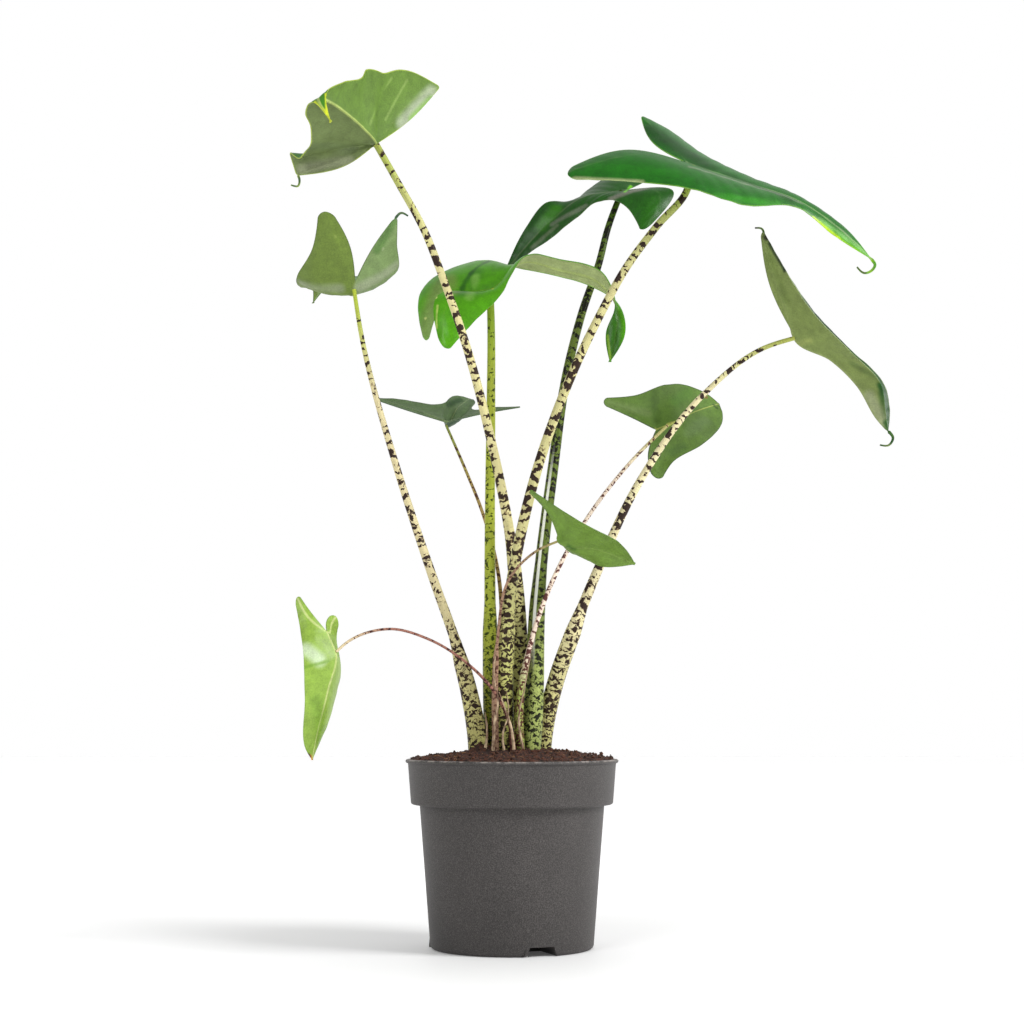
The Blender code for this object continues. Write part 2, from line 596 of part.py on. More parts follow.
def blade_surface(leaf, rows_per_station, columns):
    """Vertices and triangles of the whole blade, its halves joined along the midrib."""
    vertices, triangles, ribs = [], [], []
    shared = {}
    for side, (half, other) in enumerate(((leaf.left, leaf.right), (leaf.right, leaf.left))):
        rows, joint_row = half_rows(leaf, half, other, rows_per_station, columns)
        number = {}
        for row in range(len(rows)):
            for column in range(columns + 1):
                on_midrib = column == 0 and row >= joint_row
                if on_midrib and side == 1:
                    number[row, column] = shared[row - joint_row]
                    continue
                number[row, column] = len(vertices)
                vertices.append(tuple(rows[row, column]))
                if on_midrib:
                    shared[row - joint_row] = number[row, column]
                    ribs.append(number[row, column])
        for row in range(len(rows) - 1):
            for column in range(columns):
                a, b = number[row, column], number[row, column + 1]
                c, d = number[row + 1, column + 1], number[row + 1, column]
                for triangle in ((a, b, c), (a, c, d)):
                    triangles.append(triangle if side == 0 else triangle[::-1])
    return vertices, triangles, ribs


def make_blade(number, leaf, parts):
    surface = new_material(f"blade_{number}", leaf.colour, 0.4)
    vertices, triangles, ribs = blade_surface(leaf, ROWS_PER_STATION, COLUMNS)
    blade = new_object(f"blade_{number}", vertices, triangles, parts, surface)
    thick = blade.vertex_groups.new(name="thick")
    plain = [i for i in range(len(vertices)) if i not in set(ribs)]
    thick.add(plain, BLADE_THICKNESS / RIB_THICKNESS, 'REPLACE')
    thick.add(ribs, 1.0, 'REPLACE')
    solidify = blade.modifiers.new("Thickness", 'SOLIDIFY')
    solidify.thickness = 0.001 * RIB_THICKNESS
    solidify.offset = 0.0
    solidify.vertex_group = "thick"
    return blade


def seat_on_blade(rings, tree):
    """Lengthen each corner of the stalk's end until it lies just under the blade."""
    direction = unit(rings[-1].mean(0) - rings[-2].mean(0))
    for i, point in enumerate(rings[-1]):
        distance = tree.ray_cast(Vector(0.001 * point), Vector(direction), 0.001 * STALK_REACH)[3]
        reach = 0.0 if distance is None else 1000 * distance - GAP
        while reach > 0 and 1000 * tree.find_nearest(Vector(0.001 * (point + direction * reach)))[3] < GAP:
            reach -= REACH_STEP
        rings[-1][i] = point + direction * max(reach, 0.0)
    return rings


def clear_of(vertices, faces, tree):
    """Whether a stalk crosses the blade nowhere, with its last rings about the gap away."""
    own = BVHTree.FromPolygons([tuple(0.001 * c for c in v) for v in vertices], faces)
    near = min(tree.find_nearest(Vector([0.001 * c for c in v]))[3] for v in vertices[-3 * STALK_SIDES:])
    return not own.overlap(tree) and 1000 * near > 0.8 * GAP


def make_stalk(number, leaf, blade, parts):
    """A stalk whose end is cut back from the joint, only as far as it must be to clear the blade."""
    skin = new_material(f"petiole_{number}", leaf.stalk.colour, 0.5)
    graph = bpy.context.evaluated_depsgraph_get()
    tree = BVHTree.FromObject(blade.evaluated_get(graph), graph)
    path = stalk_path(leaf, STALK_RINGS)
    end, back = path[-1].copy(), unit(path[-2] - path[-1])
    for step in range(CUT_BACK_TRIES):
        path[-1] = end + back * CUT_BACK_STEP * step
        vertices, faces = loft(seat_on_blade(stalk_rings(path, leaf, 0.0), tree))
        if clear_of(vertices, faces, tree):
            break
    return new_object(f"petiole_{number}", vertices, faces, parts, skin)


def finish_mesh(part):
    """Faces turned outwards, and smooth shading."""
    mesh = bmesh.new()
    mesh.from_mesh(part.data)
    bmesh.ops.recalc_face_normals(mesh, faces=mesh.faces)
    mesh.to_mesh(part.data)
    mesh.free()
    part.data.shade_smooth()


def main():
    for old in list(bpy.data.objects):
        bpy.data.objects.remove(old, do_unlink=True)
    parts = bpy.data.collections.new("alocasia_zebrina")
    cutters = bpy.data.collections.new("cutters")
    for collection in (parts, cutters):
        bpy.context.scene.collection.children.link(collection)
    make_pot(parts, cutters)
    for number, leaf in LEAVES.items():
        finish_mesh(make_blade(number, leaf, parts))
    bpy.context.view_layer.update()
    for number, leaf in LEAVES.items():
        finish_mesh(make_stalk(number, leaf, parts.objects[f"blade_{number}"], parts))
    stalks = {number: (stalk_path(leaf, STALK_RINGS), leaf) for number, leaf in LEAVES.items()}
    make_soil(parts, cutters, stalks)


main()
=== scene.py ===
# %% [markdown]
# # An alocasia zebrina in its grower's pot
#
# This lesson dresses a plain solid model of a potted plant. The solids come first, as a fixed frame:
# they say where every leaf, stalk and the pot are. Each one is then replaced by a finer piece of the
# same form, and each piece gets its own finish, made from shader nodes and no pictures.

import math
import random
from dataclasses import dataclass, field

import bpy
import numpy as np
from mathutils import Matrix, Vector, noise


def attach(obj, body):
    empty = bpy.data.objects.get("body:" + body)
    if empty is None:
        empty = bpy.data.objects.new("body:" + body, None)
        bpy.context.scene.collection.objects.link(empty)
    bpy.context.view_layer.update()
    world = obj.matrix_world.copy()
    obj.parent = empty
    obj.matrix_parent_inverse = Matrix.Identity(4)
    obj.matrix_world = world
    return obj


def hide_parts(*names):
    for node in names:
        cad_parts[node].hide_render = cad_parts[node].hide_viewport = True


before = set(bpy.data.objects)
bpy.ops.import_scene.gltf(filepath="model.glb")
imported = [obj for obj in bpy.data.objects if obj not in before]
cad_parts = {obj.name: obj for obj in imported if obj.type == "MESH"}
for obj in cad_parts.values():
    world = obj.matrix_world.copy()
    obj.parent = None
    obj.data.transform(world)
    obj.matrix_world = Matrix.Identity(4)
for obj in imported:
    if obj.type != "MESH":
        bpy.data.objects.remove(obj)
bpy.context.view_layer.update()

# %% [markdown]
# ## The camera
#
# The photograph was taken from low down, about 1.6 m away, and the camera looks up a little. Every
# landmark of the plant is written as the photographer sees it: pixels across and down the picture,
# then millimetres behind the pot's axis. One small function turns that into a place, and the camera
# uses the same numbers, so a landmark lands where it should in the render.

# %% The camera, and places seen from it
EYE_DISTANCE = 1629.0
EYE_HEIGHT = 193.5
EYE_TILT = math.radians(5.51)
PIXELS_PER_UNIT_SLOPE = 2000.0
PICTURE_MIDDLE = 512.0
SENSOR = 36.0
MM = 0.001
EYE = np.array([0.0, -EYE_DISTANCE, EYE_HEIGHT])


def seen(landmark):
    """The place, in millimetres, of a landmark at pixels across, pixels down and millimetres behind."""
    across, down, behind = landmark
    right = (across - PICTURE_MIDDLE) / PIXELS_PER_UNIT_SLOPE
    up = (PICTURE_MIDDLE - down) / PIXELS_PER_UNIT_SLOPE
    forward = math.cos(EYE_TILT) - up * math.sin(EYE_TILT)
    rise = math.sin(EYE_TILT) + up * math.cos(EYE_TILT)
    reach = (behind + EYE_DISTANCE) / forward
    return np.array([right * reach, behind, EYE_HEIGHT + rise * reach])


camera = bpy.data.objects.new("camera", bpy.data.cameras.new("camera"))
bpy.context.scene.collection.objects.link(camera)
bpy.context.scene.camera = camera
camera.location = Vector(EYE) * MM
camera.rotation_euler = (math.radians(90) + EYE_TILT, 0.0, 0.0)
camera.data.sensor_width = SENSOR
camera.data.lens = SENSOR * PIXELS_PER_UNIT_SLOPE / (2 * PICTURE_MIDDLE)
camera.data.clip_start = 0.01
print("lens:", round(camera.data.lens, 1), "mm")

# %% [markdown]
# ## Light
#
# The plant stands before a white backdrop in a darker room. An even white world would be simpler, but
# glossy leaves mirror what is around them, and an even white washes out their green. So the world is
# white behind the plant and grey in front. A large softbox on the right throws the pot's soft shadow
# to the left, and a weaker one fills in from the left.

# %% Light
scene = bpy.context.scene
scene.view_settings.view_transform = 'Standard'
world = bpy.data.worlds.new("studio")
world.use_nodes = True
FRONT_GREY = 0.36
GREY_UNTIL, WHITE_FROM = -0.1, 0.7
tree = world.node_tree
direction = tree.nodes.new("ShaderNodeTexCoord")
parts = tree.nodes.new("ShaderNodeSeparateXYZ")
ramp = tree.nodes.new("ShaderNodeMapRange")
ramp.interpolation_type = 'SMOOTHSTEP'
limits = {"From Min": GREY_UNTIL, "From Max": WHITE_FROM, "To Min": FRONT_GREY, "To Max": 1.0}
for name, value in limits.items():
    ramp.inputs[name].default_value = value
tree.links.new(direction.outputs["Generated"], parts.inputs[0])
tree.links.new(parts.outputs["Y"], ramp.inputs["Value"])
tree.links.new(ramp.outputs[0], tree.nodes["Background"].inputs["Color"])
scene.world = world


def add_softbox(name, place, target, size, power):
    """A square area light at a place, turned towards a target, all in metres."""
    light = bpy.data.lights.new(name, 'AREA')
    light.size = size
    light.energy = power
    softbox = bpy.data.objects.new(name, light)
    scene.collection.objects.link(softbox)
    softbox.location = place
    softbox.rotation_euler = (Vector(target) - Vector(place)).to_track_quat('-Z', 'Y').to_euler()
    return softbox


PLANT_MIDDLE = (0.03, 0.0, 0.45)
add_softbox("key", (1.5, -0.7, 1.3), PLANT_MIDDLE, 0.8, 34.0)
add_softbox("fill", (-0.9, -1.6, 1.2), PLANT_MIDDLE, 0.9, 13.0)

# %% [markdown]
# ## Finishes as sums
#
# A finish is a network of shader nodes. Written out one by one, the nodes for a short formula fill a
# page, so one small class wraps an output socket and lets + - * / build the Math nodes. A second class
# holds a material while it is made, with the few patterns that every finish here is mixed from.

# %% Shader sums written as Python
class Wire:
    """One output socket of a finish. Arithmetic on it adds Math nodes."""

    def __init__(self, finish, socket):
        self.finish, self.socket = finish, socket

    def math(self, operation, *values):
        return self.finish.node("Math", {"operation": operation}, dict(enumerate(values)))

    def __add__(self, other):
        return self.math("ADD", self, other)

    def __sub__(self, other):
        return self.math("SUBTRACT", self, other)

    def __rsub__(self, other):
        return self.math("SUBTRACT", other, self)

    def __mul__(self, other):
        return self.math("MULTIPLY", self, other)

    def __truediv__(self, other):
        return self.math("DIVIDE", self, other)

    __radd__ = __add__
    __rmul__ = __mul__


class Finish:
    """A material under construction, around its Principled shader."""

    def __init__(self, name, roughness=0.5):
        self.material = bpy.data.materials.new(name)
        self.material.use_nodes = True
        self.tree = self.material.node_tree
        self.shader = self.tree.nodes["Principled BSDF"]
        self.set("Roughness", roughness)

    def plug(self, socket, value):
        if isinstance(value, Wire):
            self.tree.links.new(value.socket, socket)
        elif hasattr(socket.default_value, "__len__") and len(socket.default_value) == 4:
            socket.default_value = (*value[:3], 1.0)
        else:
            socket.default_value = value

    def set(self, name, value):
        self.plug(self.shader.inputs[name], value)

    def node(self, kind, settings, sockets, output=0):
        """Any node: its type, its settings, then the values or links of its sockets."""
        node = self.tree.nodes.new("ShaderNode" + kind)
        for key, value in settings.items():
            setattr(node, key, value)
        for key, value in sockets.items():
            self.plug(node.inputs[key], value)
        return Wire(self, node.outputs[output])

    def place(self):
        return self.node("TexCoord", {}, {}, "Object")

    def field(self, name):
        """A number that the mesh carries on its points."""
        return self.node("Attribute", {"attribute_name": name}, {}, "Fac")

    def vector(self, x, y, z):
        return self.node("CombineXYZ", {}, {0: x, 1: y, 2: z})

    def grain(self, where, scale, detail=2.0, roughness=0.55):
        """Soft noise from about 0.25 to 0.75."""
        sockets = {"Vector": where, "Scale": scale, "Detail": detail, "Roughness": roughness}
        return self.node("TexNoise", {}, sockets, "Fac")

    def step(self, value, low, high):
        """A soft step: 0 where the value is low, 1 where it is high."""
        settings = {"interpolation_type": 'SMOOTHSTEP', "clamp": True}
        return self.node("MapRange", settings, {"Value": value, "From Min": low, "From Max": high})

    def mix(self, a, b, share):
        return self.node("Mix", {"data_type": 'RGBA'}, {0: share, 6: a, 7: b}, 2)

    def tint(self, colour, amount):
        """A colour made lighter or darker by a number near 1."""
        return self.node("VectorMath", {"operation": 'SCALE'}, {0: colour, "Scale": amount})

    def stroke(self, start, end, radius):
        """1 on the line between two places, fading to 0 at a radius, all in millimetres."""
        start, end = Vector(start) * MM, Vector(end) * MM
        line = end - start
        offset = self.node("VectorMath", {"operation": 'SUBTRACT'}, {0: self.place(), 1: start})
        share = self.node("VectorMath", {"operation": 'DOT_PRODUCT'}, {0: offset, 1: line}, "Value")
        share = self.node("Clamp", {}, {0: share / max(line.length_squared, 1e-9)})
        nearest = self.node("VectorMath", {"operation": 'SCALE'}, {0: line, "Scale": share})
        away = self.node("VectorMath", {"operation": 'DISTANCE'}, {0: offset, 1: nearest}, "Value")
        return 1 - self.step(away, 0.15 * radius * MM, radius * MM)

    def bump(self, height, distance, strength=1.0):
        """Fine relief, with its height in millimetres."""
        sockets = {"Height": height, "Distance": distance * MM, "Strength": strength}
        self.set("Normal", self.node("Bump", {}, sockets))


def rgb(red, green, blue):
    """A colour as a photograph shows it, from 0 to 255, in the linear light that shaders use."""
    return tuple((c / 255 / 12.92) if c < 11 else ((c / 255 + 0.055) / 1.055) ** 2.4
                 for c in (red, green, blue))


print("a leaf green in linear light:", [round(c, 3) for c in rgb(90, 130, 60)])

# %% [markdown]
# ## Meshes that carry numbers
#
# A pattern on a leaf follows its veins and its margin, which a finish can't see by itself. A picture
# wrapped round the mesh could show it, but it would blur up close. Here every point of a mesh carries
# numbers of its own instead, such as its distance to the nearest rib, and the finish reads them.

# %% New pieces
def new_piece(name, vertices, faces, finish, nodes, fields=None, sharp=60.0):
    """A smooth mesh from vertices in millimetres, which rides on the plant and may stand for nodes."""
    mesh = bpy.data.meshes.new(name)
    mesh.from_pydata((np.asarray(vertices, float) * MM).tolist(), [], faces)
    for key, values in (fields or {}).items():
        layer = mesh.attributes.new(key, 'FLOAT', 'POINT')
        layer.data.foreach_set("value", np.asarray(values, np.float32))
    mesh.validate()
    mesh.shade_smooth()
    mesh.set_sharp_from_angle(angle=math.radians(sharp))
    mesh.materials.append(finish.material)
    piece = bpy.data.objects.new(name, mesh)
    scene.collection.objects.link(piece)
    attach(piece, "root")
    if nodes:
        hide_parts(*nodes)
    return piece


def unit(vector):
    return vector / max(np.linalg.norm(vector), 1e-9)


def tube_faces(rings, sides, start=0):
    """The wall of a tube, as quads between rings of points that are numbered from start."""
    faces = []
    for ring in range(rings - 1):
        for i in range(sides):
            a, b = start + ring * sides + i, start + ring * sides + (i + 1) % sides
            faces.append((a, b, b + sides, a + sides))
    return faces


print("a vector of length 5, made", round(float(np.linalg.norm(unit(np.array([3.0, 4.0, 0.0])))), 3), "long")

# %% [markdown]
# ## The floor
#
# The pot stands on white paper that fades into the backdrop. Lamps alone leave the far floor grey, so
# the floor glows a little, more with the distance from the pot. Close to the pot the glow is weak,
# which keeps the soft shadow.

# %% The floor
FLOOR_SIDE = 12000.0
FLOOR_DROP = 0.2
FLOOR_WHITE = 0.90
NEAR_GLOW, FAR_GLOW = 0.05, 0.42
GLOW_START, GLOW_FULL = 100.0, 750.0
half_side = FLOOR_SIDE / 2
floor_finish = Finish("pale_floor", 0.6)
floor_finish.set("Base Color", (FLOOR_WHITE,) * 3)
away = floor_finish.node("VectorMath", {"operation": 'LENGTH'}, {0: floor_finish.place()}, "Value")
far = floor_finish.step(away, GLOW_START * MM, GLOW_FULL * MM)
floor_finish.set("Emission Color", floor_finish.mix((NEAR_GLOW,) * 3, (FAR_GLOW,) * 3, far))
floor_finish.set("Emission Strength", 1.0)
floor_mesh = bpy.data.meshes.new("floor")
signs = ((-1, -1), (1, -1), (1, 1), (-1, 1))
floor_corners = [(x * half_side * MM, y * half_side * MM, -FLOOR_DROP * MM) for x, y in signs]
floor_mesh.from_pydata(floor_corners, [], [(0, 1, 2, 3)])
floor_mesh.materials.append(floor_finish.material)
floor = bpy.data.objects.new("floor", floor_mesh)
scene.collection.objects.link(floor)
print("floor:", FLOOR_SIDE * MM, "m across")

# %% [markdown]
# ## The pot
#
# A grower's pot is moulded from thin dark plastic: a rolled lip, a band, a step, a tapered body and
# three drainage channels under the floor. A cylinder could be tapered and stepped by hand, but one
# profile holds all of it in a short list of points, and is turned round the axis like clay on a wheel.

# %% The pot's profile
POT_HEIGHT = 150.0
LIP_RADIUS = 86.0
LIP_HEIGHT = 3.0
BAND_TOP_RADIUS = 84.0
BAND_BOTTOM_RADIUS = 81.6
BAND_HEIGHT = 36.0
BODY_TOP_RADIUS = 74.4
BASE_RADIUS = 65.6
BASE_CORNER = 3.0
BAND_CORNER = 2.0
WALL = 1.5
FLOOR = 2.0
POT_STEPS = 160
STEP_HEIGHT = POT_HEIGHT - BAND_HEIGHT


def body_radius(height):
    """The outside of the pot's tapered body at a height."""
    share = min(max((height - BASE_CORNER) / (STEP_HEIGHT - BASE_CORNER), 0.0), 1.0)
    return BASE_RADIUS + (BODY_TOP_RADIUS - BASE_RADIUS) * share


def corner(centre_r, centre_z, radius, start, end, count):
    """Points on a round corner between two angles, in degrees."""
    angles = np.radians(np.linspace(start, end, count))
    return [(centre_r + radius * math.cos(a), centre_z + radius * math.sin(a)) for a in angles]


def pot_profile():
    """The closed outline of half the pot's section, from the lip down the outside and back up."""
    bead = LIP_HEIGHT / 2
    body, band, rim = BODY_TOP_RADIUS - WALL, BAND_BOTTOM_RADIUS - WALL, BAND_TOP_RADIUS - WALL
    outline = corner(LIP_RADIUS - bead, POT_HEIGHT - bead, bead, 90, -70, 12)
    outline += [(BAND_TOP_RADIUS + 0.25, POT_HEIGHT - LIP_HEIGHT - 0.1)]
    outline += [(BAND_TOP_RADIUS, POT_HEIGHT - LIP_HEIGHT - 0.6)]
    outline += corner(BAND_BOTTOM_RADIUS - BAND_CORNER, STEP_HEIGHT + BAND_CORNER, BAND_CORNER, 0, -90, 7)
    outline += [(BODY_TOP_RADIUS + 0.8, STEP_HEIGHT), (BODY_TOP_RADIUS, STEP_HEIGHT - 0.9)]
    outline += corner(BASE_RADIUS - BASE_CORNER, BASE_CORNER, BASE_CORNER, 0, -90, 7)
    outline += [(0.0, 0.0), (0.0, FLOOR), (BASE_RADIUS - BASE_CORNER - 1, FLOOR)]
    outline += [(BASE_RADIUS - WALL, FLOOR + 2.5), (body, STEP_HEIGHT - 1.0)]
    outline += [(body + 0.4, STEP_HEIGHT + WALL), (band - 1.0, STEP_HEIGHT + WALL)]
    outline += [(band, STEP_HEIGHT + 3.0), (rim, POT_HEIGHT - 2.0)]
    return outline + [(rim + 0.4, POT_HEIGHT)]


print("profile:", len(pot_profile()), "points, walls", WALL, "mm thick")

# %% [markdown]
# Water leaves through three channels under the floor, which end in the notches at the foot. The floor
# rises over them, so each is a bar of plastic joined to the pot, with a smaller bar cut out of it. The
# round drain holes go through the bar's roof. Booleans do all this, because they keep the wall closed.

# %% The pot, turned and cut
CHANNEL_ANGLES = (-69.0, 51.0, 171.0)
CHANNEL_WIDTH = 26.0
CHANNEL_TOP_WIDTH = 20.0
CHANNEL_HEIGHT = 7.3
CHANNEL_INNER_END = 30.0
CHANNEL_ROOF = 1.8
CHANNEL_FOOT = 0.8
CUT_PAST = 10.0
DRAIN_RADIUS = 4.0
DRAIN_PLACE = 46.0
DRAIN_SPAN = (2.0, 22.0)
DRAIN_SIDES = 32


def new_block(name, corners, faces, turn):
    """A helper solid for a Boolean, from corners in millimetres, turned about the pot's axis."""
    mesh = bpy.data.meshes.new(name)
    mesh.from_pydata([tuple(MM * c for c in corner_place) for corner_place in corners], [], faces)
    block = bpy.data.objects.new(name, mesh)
    block.rotation_euler = (0.0, 0.0, turn)
    scene.collection.objects.link(block)
    return block


def channel_block(name, grow, start, end, base, turn):
    """A trapezoid bar, wider at the bottom, that a drainage channel or its roof follows."""
    corners = []
    for x in (start, end):
        for width, height in ((CHANNEL_WIDTH, base), (CHANNEL_TOP_WIDTH, CHANNEL_HEIGHT + grow)):
            half_width = width / 2 + grow
            corners += [(x, -half_width, height), (x, half_width, height)]
    faces = [(0, 2, 3, 1), (4, 5, 7, 6), (0, 1, 5, 4), (2, 6, 7, 3), (0, 4, 6, 2), (1, 3, 7, 5)]
    return new_block(name, corners, faces, turn)


def drain_block(name, turn):
    """A round bar that a drain hole follows."""
    sides = DRAIN_SIDES
    angles = [2 * math.pi * i / sides for i in range(sides)]
    ring = [(DRAIN_PLACE + DRAIN_RADIUS * math.cos(a), DRAIN_RADIUS * math.sin(a)) for a in angles]
    corners = [(x, y, z) for z in DRAIN_SPAN for x, y in ring]
    faces = [tuple(range(sides))[::-1], tuple(range(sides, 2 * sides))]
    return new_block(name, corners, faces + tube_faces(2, sides), turn)


def baked(piece, helpers):
    """The piece's mesh with its modifiers worked in. The helpers that it used are removed."""
    graph = bpy.context.evaluated_depsgraph_get()
    mesh = bpy.data.meshes.new_from_object(piece.evaluated_get(graph))
    for helper in helpers + [piece]:
        bpy.data.objects.remove(helper, do_unlink=True)
    return mesh


def turned_pot():
    """The pot's mesh: its profile turned, with the channels' roofs joined and the openings cut."""
    profile = pot_profile()
    mesh = bpy.data.meshes.new("pot_profile")
    edges = [(i, (i + 1) % len(profile)) for i in range(len(profile))]
    mesh.from_pydata([(MM * r, 0.0, MM * z) for r, z in profile], edges, [])
    blank = bpy.data.objects.new("pot_blank", mesh)
    scene.collection.objects.link(blank)
    screw = blank.modifiers.new("Turn", 'SCREW')
    screw.steps = screw.render_steps = POT_STEPS
    screw.use_merge_vertices = True
    screw.merge_threshold = 0.00005
    wall_reach = body_radius(CHANNEL_HEIGHT)
    cutters = []
    for index, angle in enumerate(CHANNEL_ANGLES):
        turn = math.radians(angle)
        roof = channel_block(f"roof_{index}", CHANNEL_ROOF, CHANNEL_INNER_END - CHANNEL_ROOF,
                             wall_reach - 0.7 * WALL, CHANNEL_FOOT, turn)
        channel = channel_block(f"channel_{index}", 0.0, CHANNEL_INNER_END, wall_reach + CUT_PAST,
                                -CHANNEL_FOOT, turn)
        for cutter, operation in ((roof, 'UNION'), (channel, 'DIFFERENCE'),
                                  (drain_block(f"drain_{index}", turn), 'DIFFERENCE')):
            boolean = blank.modifiers.new(operation.title(), 'BOOLEAN')
            boolean.operation = operation
            boolean.object = cutter
            cutters.append(cutter)
    return baked(blank, cutters)


print("drainage channels:", len(CHANNEL_ANGLES), "under the floor,", CHANNEL_HEIGHT, "mm high")

# %% [markdown]
# The plastic is nearly black but reads as a warm dark grey, because its fine grain scatters light. The
# speckle is a small noise that feeds both the colour and a shallow bump, since a smooth dark grey
# looks like paint. Towards the foot the colour is painted a little darker, as painted shade, and a
# broken pale line along the top of the lip is a painted highlight.

# %% Dark plastic
plastic = Finish("dark_plastic", 0.46)
where = plastic.place()
speck = plastic.grain(where, 1300.0, 2.0, 0.7)
cloud = plastic.grain(where, 22.0, 3.0, 0.6)
worn = plastic.step(speck, 0.42, 0.66)
dark, light = rgb(54, 51, 50), rgb(104, 100, 98)
height = plastic.node("SeparateXYZ", {}, {0: where}, "Z")
# painted shade: the colour darkens towards the foot; the cloud noise is random tone
tone_and_foot_shade = 0.60 + cloud * 0.5 + plastic.step(height, 0.0, 0.07) * 0.14
skin = plastic.tint(plastic.mix(dark, light, worn * 0.55), tone_and_foot_shade)
# painted highlight: a broken pale line along the top of the rolled lip
lip = plastic.step(height, (POT_HEIGHT - 1.6) * MM, (POT_HEIGHT - 0.4) * MM)
highlight_breaks = plastic.step(plastic.grain(where, 120.0, 3.0, 0.7), 0.42, 0.60)
skin = plastic.mix(skin, rgb(150, 142, 136), lip * highlight_breaks * 0.8)
plastic.set("Base Color", skin)
plastic.set("Specular IOR Level", 0.35)
plastic.set("Roughness", 0.42 + cloud * 0.16 + speck * 0.08)
plastic.bump(speck, 0.12, 0.4)

pot = bpy.data.objects.new("grower_pot", turned_pot())
pot.data.materials.clear()
pot.data.materials.append(plastic.material)
pot.data.shade_smooth()
pot.data.set_sharp_from_angle(angle=math.radians(35.0))
scene.collection.objects.link(pot)
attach(pot, "root")
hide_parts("pot")
print("pot:", len(pot.data.polygons), "faces")

# %% [markdown]
# ## The leaves, as landmarks
#
# Each blade is an arrowhead: two rear lobes behind the joint, two front halves that meet at the midrib
# and a pointed apex. A flat outline could be drawn and bent, but no two leaves of this plant bend
# alike. So each is described by a few landmarks in space: the midrib from the joint to the apex, and
# for each half its lobe's tip, its inner side, its flank and its margin.

# %% What describes a leaf
@dataclass
class Half:
    """One half of a blade: its rear lobe, and its margin from beside the joint forwards."""
    tip: tuple
    inner: tuple
    flank: tuple
    edge: list
    blunt: float = 2.0
    hook: list = field(default_factory=list)


@dataclass
class Stalk:
    """A leaf stalk: its foot in the soil, its route up from there, and its widths."""
    foot: tuple
    route: list
    widths: tuple
    sheath_end: float


@dataclass
class Leaf:
    """A leaf: its stalk, the midrib from the joint to the apex, and the blade's two halves."""
    stalk: Stalk
    midrib: list
    left: Half
    right: Half
    faces_us: bool
    cup: float = 0.05
    web: float = 4.0
    wave: float = 0.0
    waves: float = 3.0
    tail: list = field(default_factory=list)


print("a leaf holds:", ", ".join(Leaf.__dataclass_fields__))
print("a half holds:", ", ".join(Half.__dataclass_fields__))
